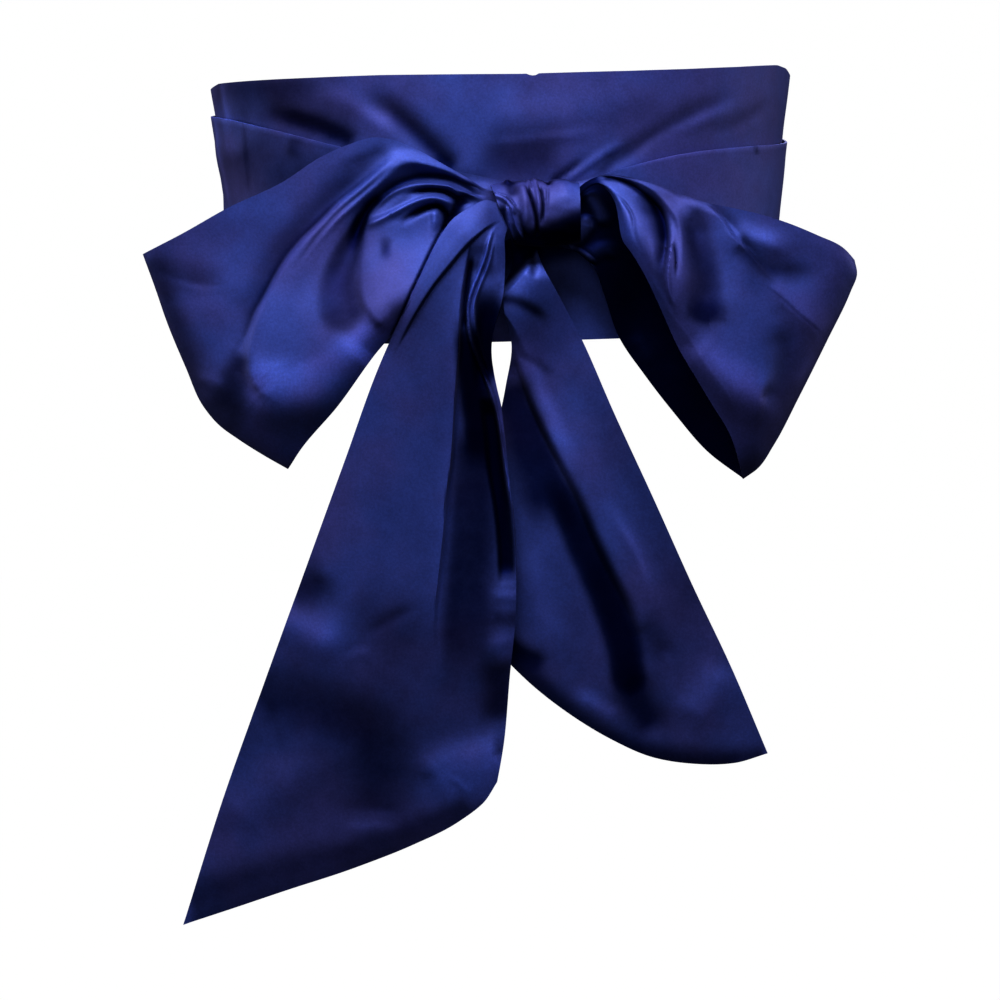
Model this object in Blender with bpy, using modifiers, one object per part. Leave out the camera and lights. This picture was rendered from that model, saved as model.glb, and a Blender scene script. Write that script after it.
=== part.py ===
"""Satin waist sash, worn: a wound band, two outer wraps, a knot, two bow loops and two tails.

Run with blender --background --python part.py, or from Blender's text editor.
World: metres, +Z up, the bow faces -Y, and +X is the viewer's right. The origin is the centre
of the hollow at the waist, at half the band's height. Tables and forms are in millimetres.
"""
import math
from typing import NamedTuple

import bmesh
import bpy
import numpy as np

MM = 0.001

# Driving sizes, mm
CLOTH_WALL = 1.4        # two thicknesses of satin, sewn as one strip
BAND_HALF_HEIGHT = 60.5
WAIST_HALF_WIDTH = 131.0
WAIST_HALF_DEPTH = 95.0
WAIST_SQUARENESS = 2.2  # exponent of the oval: 2 is an ellipse
WAIST_FLARE = 7.0       # how much wider the band's top is than its middle
LAYER = 2.2             # one layer on the next, measured out from the waist
KNOT_CENTRE = (14.0, -112.2, -2.5)
KNOT_RADIUS = 14.4
KNOT_HALF_LENGTH = 20.0
ROOT_HALF_GAP = 2.4     # half the space between a loop's layers where they meet the knot
FOLD_SHARE = 0.15       # share of a loop's length over which its outer fold opens out
KNOT_SLANT = 10.0       # how much further right the knot's left end lies at the bottom

# Grid cells of each piece: along it, across it
BAND_CELLS = (68, 10)
WRAP_CELLS = (32, 8)
KNOT_CELLS = (32, 10)
LOOP_CELLS = (36, 16)
TAIL_CELLS = (28, 14)

SATIN = (0.012, 0.016, 0.085, 1.0)
SATIN_ROUGHNESS = 0.38
SATIN_METALLIC = 0.35


class Fold(NamedTuple):
    """A ridge (height above 0) or trough (below 0) along a path of (x, z) points, mm."""
    name: str
    path: tuple
    height: float
    left: float         # half width on the left of the path, looking along it
    right: float        # half width on the right
    crest: float = 2.0  # 1 is a sharp crest, 2 a soft one, 4 a flat top
    widen: float = 1.0  # width at the path's end, as a share of the width at its start
    fade: float = 0.15  # share of the path over which each end rises


class WrapRow(NamedTuple):
    """An outer wrap's lower and upper edge, mm, at one angle round the waist from the front."""
    angle: float
    bottom: float
    top: float


class Pleat(NamedTuple):
    """A pleat round the knot: where it crosses the top, the front and the bottom, mm."""
    top: float
    front: float
    bottom: float
    height: float
    left: float
    right: float


# The band's own drag folds, which run towards the knot (x, z on the front)
BAND_FOLDS = (
    Fold("left drag line", ((-62, 54), (-44, 44), (-26, 26), (-10, 12)), -3.6, 7, 9),
    Fold("left drag ridge", ((-50, 58), (-24, 44), (-4, 22)), 2.4, 9, 9),
    Fold("right drag line", ((112, 52), (84, 40), (58, 27), (36, 12)), -3.2, 7, 8),
    Fold("right drag ridge", ((90, 54), (62, 36), (40, 20)), 2.2, 8, 8),
    Fold("hollow over the knot", ((-2, 30), (20, 26), (44, 30)), -3.0, 12, 12, 2.0, 1.0, 0.4),
    Fold("left side crease", ((-128, 56), (-125, 30), (-124, 8)), -2.2, 5, 7),
    Fold("low left pull", ((-60, -50), (-34, -36), (-8, -22)), -1.8, 8, 8),
    Fold("low right pull", ((90, -52), (62, -38), (38, -18)), -1.8, 8, 8),
)

# The left wrap reaches a little past the knot's middle, the right wrap stops short of it.
LEFT_WRAP = (
    WrapRow(-3, -13, 11), WrapRow(4, -17, 14), WrapRow(22, -33, 21), WrapRow(42, -48, 30),
    WrapRow(57, -56, 38), WrapRow(71, -59, 44), WrapRow(90, -60, 47), WrapRow(120, -60, 50),
    WrapRow(150, -59, 52), WrapRow(198, -58, 52),
)
RIGHT_WRAP = (
    WrapRow(5, -13, 7), WrapRow(21, -22, 12), WrapRow(31, -32, 17), WrapRow(46, -44, 23),
    WrapRow(64, -54, 26), WrapRow(76, -58, 27), WrapRow(95, -60, 30), WrapRow(120, -60, 39),
    WrapRow(150, -59, 49), WrapRow(198, -58, 52),
)
# Where the wraps cross at the back: the left one lies over the right one
CROSSING_SWING = 19.0   # degrees the crossing leans to each side of the middle
CROSSING_TUCK = 8.0     # degrees the right wrap goes on beneath the left one

# Gathers beside the knot and at the crossing: path of (angle, height)
LEFT_WRAP_FOLDS = (
    Fold("upper gather", ((2, 5), (20, 10), (40, 16), (56, 20)), 3.0, 4, 5, 2.0, 2.2),
    Fold("middle gather", ((2, -4), (20, -8), (40, -12), (54, -16)), 2.6, 4, 4, 2.0, 2.0),
    Fold("lower gather", ((3, -11), (22, -25), (42, -38)), 2.6, 4, 4, 2.0, 2.0),
    Fold("back high gather", ((128, 30), (150, 20), (172, 10), (190, 8)), 2.2, 9, 9, 2.0, 0.6),
    Fold("back low gather", ((126, -34), (146, -24), (166, -16)), 2.4, 9, 9, 2.0, 0.6),
    Fold("left side slack", ((78, -30), (96, 4), (108, 34)), 2.0, 9, 8),
)
RIGHT_WRAP_FOLDS = (
    Fold("upper gather", ((10, 2), (26, 8), (46, 13), (64, 16)), 2.8, 4, 4, 2.0, 2.0),
    Fold("middle gather", ((10, -5), (28, -10), (46, -16)), 2.6, 4, 4, 2.0, 2.0),
    Fold("lower gather", ((12, -11), (28, -22), (46, -34)), 2.2, 4, 4, 2.0, 2.0),
    Fold("back high gather", ((124, 26), (144, 18), (160, 12), (176, 8)), 2.2, 9, 9, 2.0, 0.6),
    Fold("back low gather", ((122, -30), (144, -20), (164, -12), (184, -8)), 2.4, 9, 9, 2.0, 0.6),
    Fold("right side slack", ((82, -36), (98, -8), (106, 18)), 2.0, 9, 8),
)

KNOT_PLEATS = (
    Pleat(-16, -13, -8, 1.5, 2.2, 2.6),
    Pleat(-11, -8, -4, 1.4, 2.0, 2.4),
    Pleat(-6, -1, 0, -1.5, 1.8, 1.8),
    Pleat(2, 4, 3, -1.6, 1.8, 2.0),
    Pleat(11, 12, 11, 1.2, 5.0, 4.0),
)

# Bow loops: rails of (x, z) points from the knot to the outer fold, mm
LEFT_FRONT_TOP = ((0, 6.4), (-9, 9.4), (-16, 14), (-26, 20), (-40, 28), (-50, 32), (-57, 33),
                  (-69, 30), (-81, 25), (-99, 14), (-124, 3), (-145, -8), (-164, -17))
LEFT_FRONT_BOTTOM = ((1, -6), (-10, -14), (-33, -38), (-56, -60), (-77, -87), (-94, -106),
                     (-101, -116))
LEFT_BACK_TOP = ((0, 3), (-12, 4), (-35, 14), (-60, 18), (-90, 10), (-125, -1), (-164, -17))
LEFT_BACK_BOTTOM = ((1, -5), (-12, -14), (-35, -35), (-58, -57), (-80, -85), (-101, -116))
LEFT_OUTER_FOLD = ((-164, -17), (-159, -32), (-154, -48), (-146, -69), (-139, -86), (-132, -95),
                   (-123, -102), (-111, -110), (-101, -116))
RIGHT_FRONT_TOP = ((30, 5), (37, 11), (45, 14), (54, 13), (66, 10), (76, 6), (89, 1), (102, -2),
                   (114, -5), (126, -9), (140, -15), (152, -21), (158, -27))
RIGHT_FRONT_BOTTOM = ((30, -5), (38, -1), (46, 2), (52, -4), (55, -13), (59, -23), (66, -42),
                      (77, -67), (86, -83), (94, -95), (100, -106), (106, -125))
RIGHT_BACK_TOP = ((30, 4), (40, 6), (60, 3), (80, -4), (100, -10), (125, -16), (145, -24),
                  (158, -27))
RIGHT_BACK_BOTTOM = ((30, -8), (37, -15), (44, -36), (51, -59), (62, -76), (76, -95), (91, -113),
                     (106, -125))
RIGHT_OUTER_FOLD = ((158, -27), (159, -33), (156, -41), (145, -63), (132, -88), (120, -110),
                    (113, -120), (106, -125))

LEFT_LOOP_FOLDS = (
    Fold("long crest", ((-49, 30), (-58, 18), (-71, 9), (-85, -4), (-96, -19), (-105, -33),
                        (-112, -48), (-116, -64)), 10, 13, 7, 1.7, 1.3, 0.12),
    Fold("deep trough", ((-63, -2), (-70, -13), (-76, -27), (-81, -43), (-80, -54)),
         -15, 7, 9, 2.2, 1.2, 0.2),
    Fold("inner swell", ((-42, -6), (-48, -22), (-54, -40)), 6, 12, 9, 2.0, 1.2, 0.3),
    Fold("low swell", ((-112, -66), (-96, -68), (-80, -64), (-62, -54)), 5, 9, 11, 2.0, 1.0, 0.3),
    Fold("upper gather", ((-10, 4), (-24, 11), (-40, 11), (-53, 5)), 4, 5, 5),
    Fold("root gather", ((-12, -2), (-26, 2), (-40, -1)), 3, 5, 5),
)
RIGHT_LOOP_FOLDS = (
    Fold("root trough", ((58, 10), (67, 3), (72, -6), (72, -20), (69, -34)), -7, 6, 6),
    Fold("round hollow", ((82, -10), (87, -26), (92, -42), (97, -54)), -9, 9, 8, 2.2, 1.3, 0.25),
    Fold("long ridge", ((74, 6), (90, -10), (104, -21), (116, -34), (125, -49)), 7, 8, 9),
    Fold("outer hollow", ((108, -24), (122, -30), (134, -33)), -6, 6, 7, 2.0, 1.3, 0.3),
    Fold("low swell", ((88, -66), (104, -76), (116, -88)), 5, 12, 12, 2.0, 1.0, 0.3),
    Fold("outer swell", ((112, -16), (126, -20), (138, -26)), 4, 6, 6, 2.0, 1.0, 0.3),
)


class LoopShape(NamedTuple):
    """One bow loop: its four rails, the fold they end at, and how far it swells, mm."""
    front_top: tuple
    front_bottom: tuple
    back_top: tuple
    back_bottom: tuple
    outer_fold: tuple
    folds: tuple
    root_depth: float       # y of the loop's middle at the knot
    fold_depth: float       # y of the outer fold
    front_edge: float       # how far the front layer's edges stand out from the middle
    front_crown: float      # how much further its centre line does
    back_edge: float
    back_crown: float


LEFT_LOOP = LoopShape(LEFT_FRONT_TOP, LEFT_FRONT_BOTTOM, LEFT_BACK_TOP, LEFT_BACK_BOTTOM,
                      LEFT_OUTER_FOLD, LEFT_LOOP_FOLDS, -109, -101, 12, 22, 8, 5)
RIGHT_LOOP = LoopShape(RIGHT_FRONT_TOP, RIGHT_FRONT_BOTTOM, RIGHT_BACK_TOP, RIGHT_BACK_BOTTOM,
                       RIGHT_OUTER_FOLD, RIGHT_LOOP_FOLDS, -110, -104, 14, 16, 8, 5)


class TailShape(NamedTuple):
    """One hanging tail: its long edges, its ends, its depth from top to bottom, mm."""
    left_edge: tuple
    right_edge: tuple
    root: tuple
    cut_end: tuple
    folds: tuple
    depths: tuple           # y down the tail's middle, at even steps
    crown: float


LEFT_TAIL = TailShape(
    left_edge=((0, 1), (-8, 4), (-15, 1), (-23, -4), (-29, -12), (-38, -29), (-48, -49),
               (-57, -68), (-74, -111), (-94, -162), (-114, -213), (-134, -265), (-154, -323)),
    right_edge=((2, -7), (0, -13), (0, -20), (-1, -36), (-7, -61), (-3, -92), (-1, -113), (1, -140),
                (1, -185), (-2, -210), (-6, -245), (-9, -260)),
    root=((0, 1), (1, -3), (2, -7)),
    cut_end=((-154, -323), (-135, -317), (-104, -307), (-75, -298), (-48, -288), (-27, -278),
             (-15, -269), (-9, -260)),
    folds=(
        Fold("rolled edge", ((-8, 0), (-15, -4), (-21, -11), (-28, -21), (-36, -33), (-45, -48)),
             6, 4, 8, 3.0, 0.7, 0.1),
        Fold("deep recess", ((-10, -20), (-14, -45), (-13, -75), (-12, -105), (-12, -135),
                             (-9, -160)), -8, 5, 5, 2.6, 2.4, 0.12),
        Fold("finished edge", ((-9, -38), (-11, -58), (-6, -82), (-1, -105), (1, -135)),
             2.5, 4, 4),
        Fold("soft ridge", ((-70, -130), (-84, -190), (-92, -240)), 3, 16, 18, 2.0, 1.3, 0.3),
        Fold("low hollow", ((-40, -170), (-56, -230), (-66, -280)), -3, 14, 14, 2.0, 1.3, 0.3),
    ),
    depths=(-122.6, -131, -126, -121, -118, -115, -113),
    crown=3.0)
RIGHT_TAIL = TailShape(
    left_edge=((3, -13), (3, -26), (-1, -36), (-1, -46), (2, -61), (-1, -80), (-7, -105),
               (-14, -130), (-21, -155), (-26, -176)),
    right_edge=((13, -13), (16, -24), (23, -38), (33, -58), (48, -94), (65, -133), (82, -173),
                (99, -211), (115, -251)),
    root=((3, -13), (8, -13), (13, -13)),
    cut_end=((-26, -176), (-15, -192), (-2, -207), (8, -217), (28, -233), (44, -243), (61, -251),
             (81, -255), (100, -255), (115, -251)),
    folds=(
        Fold("set-back side", ((0, -72), (3, -95), (11, -120), (21, -150), (34, -184),
                               (46, -214)), -6, 5, 14, 2.4, 1.5, 0.15),
        Fold("upper dent", ((1, -44), (10, -46), (20, -52)), -3, 5, 5, 2.0, 1.0, 0.3),
        Fold("soft ridge", ((24, -80), (44, -130), (66, -190)), 3, 10, 12, 2.0, 1.4, 0.3),
    ),
    depths=(-101, -104, -107, -108, -108, -107, -106),
    crown=2.0)


def smooth_step(low: float, high: float, value: np.ndarray) -> np.ndarray:
    """Rise from 0 at low to 1 at high, level at both ends."""
    share = np.clip((value - low) / (high - low), 0.0, 1.0)
    return share * share * (3.0 - 2.0 * share)


def curve_at(knots: np.ndarray, values: np.ndarray, where: np.ndarray) -> np.ndarray:
    """Read a smooth curve through values, which stand at knots."""
    slopes = np.gradient(values, knots, axis=0)
    index = np.clip(np.searchsorted(knots, where, side="right") - 1, 0, len(knots) - 2)
    span = knots[index + 1] - knots[index]
    share = np.clip((where - knots[index]) / span, 0.0, 1.0)
    if values.ndim == 2:
        span, share = span[:, None], share[:, None]
    square, cube = share ** 2, share ** 3
    return ((2 * cube - 3 * square + 1) * values[index]
            + (cube - 2 * square + share) * span * slopes[index]
            + (3 * square - 2 * cube) * values[index + 1]
            + (cube - square) * span * slopes[index + 1])


def rail_at(points: tuple, share: np.ndarray) -> np.ndarray:
    """Points on the smooth line through points, at shares of its length from 0 to 1."""
    values = np.array(points, dtype=float)
    steps = np.linalg.norm(np.diff(values, axis=0), axis=1)
    knots = np.concatenate(([0.0], np.cumsum(steps))) / steps.sum()
    return curve_at(knots, values, np.clip(share, 0.0, 1.0))


def column_at(rows: tuple, key: str, column: str, where: np.ndarray) -> np.ndarray:
    """Read one column of a table of rows at values of another."""
    knots = np.array([getattr(row, key) for row in rows], dtype=float)
    values = np.array([getattr(row, column) for row in rows], dtype=float)
    return curve_at(knots, values, np.clip(where, knots[0], knots[-1]))


def relief(folds: tuple, first: np.ndarray, second: np.ndarray) -> np.ndarray:
    """Sum the folds' heights at places given by the two coordinates that their paths use."""
    total = np.zeros_like(first)
    for fold in folds:
        path = rail_at(fold.path, np.linspace(0.0, 1.0, 25))
        best = np.full_like(first, np.inf)
        side = np.zeros_like(first)
        along = np.zeros_like(first)
        pieces = len(path) - 1
        for number in range(pieces):
            start, run = path[number], path[number + 1] - path[number]
            length = max(np.hypot(*run), 1e-9)
            share = np.clip(((first - start[0]) * run[0] + (second - start[1]) * run[1])
                            / length ** 2, 0.0, 1.0)
            away_x = first - start[0] - share * run[0]
            away_z = second - start[1] - share * run[1]
            distance = np.hypot(away_x, away_z)
            nearer = distance < best
            best = np.where(nearer, distance, best)
            side = np.where(nearer, run[0] * away_z - run[1] * away_x, side)
            along = np.where(nearer, (number + share) / pieces, along)
        width = np.where(side > 0, fold.left, fold.right) * (1.0 + (fold.widen - 1.0) * along)
        ends = smooth_step(-0.02, fold.fade, along) * smooth_step(-0.02, fold.fade, 1.0 - along)
        total += fold.height * ends * np.exp(-(best / width) ** fold.crest)
    return total


def waist_point(angle: np.ndarray, height: np.ndarray, out: np.ndarray) -> np.ndarray:
    """A point at an angle round the waist from the front, towards +X, and out from the band."""
    flare = 1.0 + WAIST_FLARE / WAIST_HALF_WIDTH * (height / BAND_HALF_HEIGHT)
    across = np.abs(np.sin(angle)) / (WAIST_HALF_WIDTH * flare)
    deep = np.abs(np.cos(angle)) / WAIST_HALF_DEPTH
    radius = (across ** WAIST_SQUARENESS + deep ** WAIST_SQUARENESS) ** (-1 / WAIST_SQUARENESS)
    radius = radius + out
    return np.column_stack((radius * np.sin(angle), -radius * np.cos(angle), height))


def band_relief(angle: np.ndarray, height: np.ndarray) -> np.ndarray:
    """How far the band's folds stand out, which the wraps over it follow."""
    place = waist_point(angle, height, np.zeros_like(angle))
    return relief(BAND_FOLDS, place[:, 0], height) * smooth_step(20.0, 50.0, -place[:, 1])


def band_form(along: np.ndarray, across: np.ndarray) -> np.ndarray:
    """The band's outer face, all round the waist."""
    angle = along * math.tau
    height = (2.0 * across - 1.0) * BAND_HALF_HEIGHT
    return waist_point(angle, height, band_relief(angle, height))


def wrap_form(rows: tuple, folds: tuple, side: float, tucked: bool):
    """Make the form of one outer wrap, from behind the knot round to the back."""
    def form(along: np.ndarray, across: np.ndarray) -> np.ndarray:
        swing = CROSSING_SWING * np.sin((across - 0.5) * math.pi)
        middle, lean = (180.0 + CROSSING_TUCK, -swing) if tucked else (180.0, swing)
        last = middle + lean
        degrees = rows[0].angle + (middle - rows[0].angle) * along
        degrees = degrees + lean * smooth_step(0.55, 1.0, along)
        bottom = column_at(rows, "angle", "bottom", degrees)
        top = column_at(rows, "angle", "top", degrees)
        height = bottom + (top - bottom) * across
        angle = np.radians(degrees) * side
        lift = np.ones_like(degrees)
        if not tucked:
            lift = 1.0 + smooth_step(-CROSSING_TUCK * 2.0, -CROSSING_TUCK, degrees - last)
        hold = smooth_step(0.0, 0.12, across) * smooth_step(0.0, 0.12, 1.0 - across)
        gathers = np.maximum(relief(folds, degrees, height), 0.0) * (0.4 + 0.6 * hold)
        if tucked:
            gathers *= 1.0 - smooth_step(last - 2.5 * CROSSING_TUCK, last - CROSSING_TUCK, degrees)
        out = np.maximum(band_relief(angle, height), 0.0) + LAYER * lift + gathers
        return waist_point(angle, height, out)
    return form


def knot_form(along: np.ndarray, across: np.ndarray) -> np.ndarray:
    """The knot's outer face: a pleated ring round the X axis. Along goes round, 0 at the top."""
    turn = along * math.tau
    front = np.sin(turn)                    # 1 at the front, -1 at the back
    upward = np.cos(turn)
    slant = KNOT_SLANT * (1.0 - upward) / 2.0 * (1.0 - across)
    reach = (2.0 * across - 1.0) * KNOT_HALF_LENGTH + slant
    radius = KNOT_RADIUS - 1.6 * (2.0 * across - 1.0) ** 2 + 0.5
    for pleat in KNOT_PLEATS:
        ridge = pleat.front + np.where(upward > 0, (pleat.top - pleat.front) * upward ** 2,
                                       (pleat.bottom - pleat.front) * upward ** 2)
        away = reach - ridge
        width = np.where(away < 0, pleat.left, pleat.right)
        radius = radius + pleat.height * np.exp(-(away / width) ** 2) * smooth_step(-0.6, 0.3, front)
    x, y, z = KNOT_CENTRE
    return np.column_stack((x + reach, y - radius * front, z + radius * upward))


def patch_at(start: tuple, end: tuple, top: tuple, bottom: tuple,
             along: np.ndarray, across: np.ndarray) -> np.ndarray:
    """A place on the smooth patch inside four lines of (x, z) points that meet at its corners."""
    u, v = along[:, None], across[:, None]
    corners = [np.array(point, dtype=float) for point in (top[0], bottom[0], top[-1], bottom[-1])]
    rails = (1 - v) * rail_at(top, along) + v * rail_at(bottom, along)
    ends = (1 - u) * rail_at(start, across) + u * rail_at(end, across)
    flat = ((1 - u) * (1 - v) * corners[0] + (1 - u) * v * corners[1]
            + u * (1 - v) * corners[2] + u * v * corners[3])
    return rails + ends - flat


def loop_form(shape: LoopShape):
    """Make the form of a bow loop: out along the front layer and back along the back layer."""
    def layer(along: np.ndarray, across: np.ndarray, front: bool) -> np.ndarray:
        top = shape.front_top if front else shape.back_top
        bottom = shape.front_bottom if front else shape.back_bottom
        place = patch_at((top[0], bottom[0]), shape.outer_fold, top, bottom, along, across)
        edge = shape.front_edge if front else shape.back_edge
        crown = shape.front_crown if front else shape.back_crown
        rise = smooth_step(0.0, 0.5, along)
        crease = np.sqrt(1.0 - np.exp((along - 1.0) / FOLD_SHARE))
        belly = np.sqrt(1.0 - along) * rise / 0.75
        swell = (ROOT_HALF_GAP + (edge - ROOT_HALF_GAP) * rise) * crease
        swell = swell + crown * np.sin(math.pi * across) ** 1.2 * belly
        if front:
            close = smooth_step(0.0, 0.12, 1.0 - along) * smooth_step(0.0, 0.08, along)
            rim = 0.35 + 0.65 * smooth_step(0.0, 0.10, np.minimum(across, 1.0 - across))
            swell = swell + relief(shape.folds, place[:, 0], place[:, 1]) * close * rim
        middle = shape.root_depth + (shape.fold_depth - shape.root_depth) * along ** 1.5
        depth = middle - np.maximum(swell, ROOT_HALF_GAP * crease) if front else middle + swell
        return np.column_stack((place[:, 0], depth, place[:, 1]))

    def form(along: np.ndarray, across: np.ndarray) -> np.ndarray:
        turn = 1.0 - 2.0 * along            # 1 at the front root, 0 at the fold, -1 at the back
        reach = 1.0 - turn ** 2
        front = layer(reach, across, True)
        back = layer(reach, across, False)
        return np.where((turn > 0)[:, None], front, back)
    return form


def tail_form(shape: TailShape):
    """Make the form of a hanging tail, from the knot down to its slanting cut end."""
    def form(along: np.ndarray, across: np.ndarray) -> np.ndarray:
        place = patch_at(shape.root, shape.cut_end, shape.left_edge, shape.right_edge,
                         along, across)
        steps = np.linspace(0.0, 1.0, len(shape.depths))
        depth = curve_at(steps, np.array(shape.depths, dtype=float), along)
        rise = smooth_step(0.0, 0.08, along)
        forward = shape.crown * np.sin(math.pi * across) * rise
        forward = forward + relief(shape.folds, place[:, 0], place[:, 1]) * rise
        return np.column_stack((place[:, 0], depth - forward, place[:, 1]))
    return form


def satin(name: str) -> bpy.types.Material:
    """One sub-part's satin: dark blue, with a soft sheen."""
    material = bpy.data.materials.new(name + "_satin")
    material.use_nodes = True
    shader = material.node_tree.nodes["Principled BSDF"]
    shader.inputs["Base Color"].default_value = SATIN
    shader.inputs["Roughness"].default_value = SATIN_ROUGHNESS
    shader.inputs["Metallic"].default_value = SATIN_METALLIC
    return material


def cloth_piece(name: str, cells: tuple, form, turned: bool, collection) -> bpy.types.Object:
    """Shape a flat grid of cloth with a form and give it the wall's thickness, inwards."""
    sheet = bmesh.new()
    bmesh.ops.create_grid(sheet, x_segments=cells[0], y_segments=cells[1], size=0.5)
    flat = np.array([vertex.co for vertex in sheet.verts], dtype=float) + 0.5
    places = form(np.clip(flat[:, 0], 0, 1), np.clip(flat[:, 1], 0, 1)) * MM
    for vertex, place in zip(sheet.verts, places):
        vertex.co = place
    bmesh.ops.remove_doubles(sheet, verts=sheet.verts, dist=0.00002)
    if turned:
        bmesh.ops.reverse_faces(sheet, faces=sheet.faces)
    mesh = bpy.data.meshes.new(name)
    sheet.to_mesh(mesh)
    sheet.free()
    mesh.shade_smooth()
    piece = bpy.data.objects.new(name, mesh)
    collection.objects.link(piece)
    mesh.materials.append(satin(name))
    wall = piece.modifiers.new("wall", "SOLIDIFY")
    wall.thickness = CLOTH_WALL * MM
    wall.offset = -1.0
    wall.use_quality_normals = True
    return piece


def main() -> None:
    """Build every sub-part in its own named object."""
    for old in list(bpy.data.objects):
        bpy.data.objects.remove(old, do_unlink=True)
    collection = bpy.data.collections.new("satin_sash")
    bpy.context.scene.collection.children.link(collection)
    pieces = (
        ("waist_band", BAND_CELLS, band_form, False),
        ("wrap_left", WRAP_CELLS, wrap_form(LEFT_WRAP, LEFT_WRAP_FOLDS, -1.0, False), True),
        ("wrap_right", WRAP_CELLS, wrap_form(RIGHT_WRAP, RIGHT_WRAP_FOLDS, 1.0, True), False),
        ("knot", KNOT_CELLS, knot_form, False),
        ("loop_left", LOOP_CELLS, loop_form(LEFT_LOOP), False),
        ("loop_right", LOOP_CELLS, loop_form(RIGHT_LOOP), True),
        ("tail_left", TAIL_CELLS, tail_form(LEFT_TAIL), False),
        ("tail_right", TAIL_CELLS, tail_form(RIGHT_TAIL), False),
    )
    for name, cells, form, turned in pieces:
        cloth_piece(name, cells, form, turned, collection)


main()
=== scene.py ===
"""Dresses the worn satin sash: finely creased cloth over the plain solids, its satin and a studio.

World: metres, +Z up, the bow faces -Y and +X is the viewer's right. The origin is the centre of the
hollow at the waist, at half the band's height. Folds, edges and forms are given in millimetres.
"""
import logging
import math
from dataclasses import dataclass, field
from enum import Enum

import bpy
import numpy as np
from mathutils import Matrix, Vector


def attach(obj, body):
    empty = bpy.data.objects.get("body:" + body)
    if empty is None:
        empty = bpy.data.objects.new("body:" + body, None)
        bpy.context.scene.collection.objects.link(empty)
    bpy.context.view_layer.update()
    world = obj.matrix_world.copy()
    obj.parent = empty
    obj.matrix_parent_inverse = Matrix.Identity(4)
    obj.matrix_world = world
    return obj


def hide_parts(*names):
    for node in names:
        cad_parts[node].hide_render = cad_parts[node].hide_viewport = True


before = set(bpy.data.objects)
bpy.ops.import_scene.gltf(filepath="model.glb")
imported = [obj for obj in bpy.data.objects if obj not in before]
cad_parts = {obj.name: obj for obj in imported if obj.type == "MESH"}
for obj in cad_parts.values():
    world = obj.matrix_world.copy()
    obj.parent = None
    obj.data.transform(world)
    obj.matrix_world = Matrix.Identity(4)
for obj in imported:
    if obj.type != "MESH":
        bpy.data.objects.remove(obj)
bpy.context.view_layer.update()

LOG = logging.getLogger("sash")
BODY = "root"
MM = 0.001
PAINTED_LIGHT_ATTR = "tone"               # the attribute that carries painted shade (below 0) and painted highlights (above 0)
BEND_BLEND = 1.5            # mm: how far round a bend the stretches of a fold's path mix
LEAST_STEP = 1e-9           # mm: the shortest stretch that a path is divided by
WHITE = (1.0, 1.0, 1.0, 1.0)

Path = tuple[tuple[float, float], ...]


class Held(Enum):
    """How a stretch of the sash is held."""
    STRETCHED = "stretched"
    GATHERED = "gathered"
    FOLDED = "folded"
    HUNG = "hung"


class Side(Enum):
    """The viewer's side of the bow, as the sign of X."""
    LEFT = -1.0
    RIGHT = 1.0


# ---------------------------------------------------------------- curves and folds


def smooth_step(low: float, high: float, value: np.ndarray) -> np.ndarray:
    """Rise from 0 at low to 1 at high, level at both ends.

    Args:
        low: Value up to which the result is 0.
        high: Value from which the result is 1.
        value: Where to read it.

    Returns:
        The share for each value.
    """
    share = np.clip((value - low) / (high - low), 0.0, 1.0)
    return share * share * (3.0 - 2.0 * share)


def curve_at(knots: np.ndarray, values: np.ndarray, where: np.ndarray) -> np.ndarray:
    """Read a smooth curve through values, which stand at knots.

    Args:
        knots: Rising places of the values.
        values: One number or one point for each knot.
        where: Places to read.

    Returns:
        The curve's value at each place.
    """
    slopes = np.gradient(values, knots, axis=0)
    index = np.clip(np.searchsorted(knots, where, side="right") - 1, 0, len(knots) - 2)
    span = knots[index + 1] - knots[index]
    share = np.clip((where - knots[index]) / span, 0.0, 1.0)
    if values.ndim == 2:
        span, share = span[:, None], share[:, None]
    square, cube = share ** 2, share ** 3
    return ((2 * cube - 3 * square + 1) * values[index]
            + (cube - 2 * square + share) * span * slopes[index]
            + (3 * square - 2 * cube) * values[index + 1]
            + (cube - square) * span * slopes[index + 1])


def rail_at(points: Path, share: np.ndarray) -> np.ndarray:
    """Read the smooth line through points.

    Args:
        points: The line's own points.
        share: Shares of its length from 0 to 1.

    Returns:
        One point for each share.
    """
    values = np.array(points, dtype=float)
    steps = np.linalg.norm(np.diff(values, axis=0), axis=1)
    knots = np.concatenate(([0.0], np.cumsum(steps))) / steps.sum()
    return curve_at(knots, values, np.clip(share, 0.0, 1.0))


def patch_at(start: Path, end: Path, top: Path, bottom: Path,
             along: np.ndarray, across: np.ndarray) -> np.ndarray:
    """Read the smooth patch inside four lines that meet at its corners.

    Args:
        start: The line where along is 0.
        end: The line where along is 1.
        top: The line where across is 0.
        bottom: The line where across is 1.
        along: Shares from start to end.
        across: Shares from top to bottom.

    Returns:
        One (x, z) point for each pair of shares.
    """
    u, v = along[:, None], across[:, None]
    corners = [np.array(point, dtype=float) for point in (top[0], bottom[0], top[-1], bottom[-1])]
    rails = (1 - v) * rail_at(top, along) + v * rail_at(bottom, along)
    ends = (1 - u) * rail_at(start, across) + u * rail_at(end, across)
    flat = ((1 - u) * (1 - v) * corners[0] + (1 - u) * v * corners[1]
            + u * (1 - v) * corners[2] + u * v * corners[3])
    return rails + ends - flat


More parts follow.
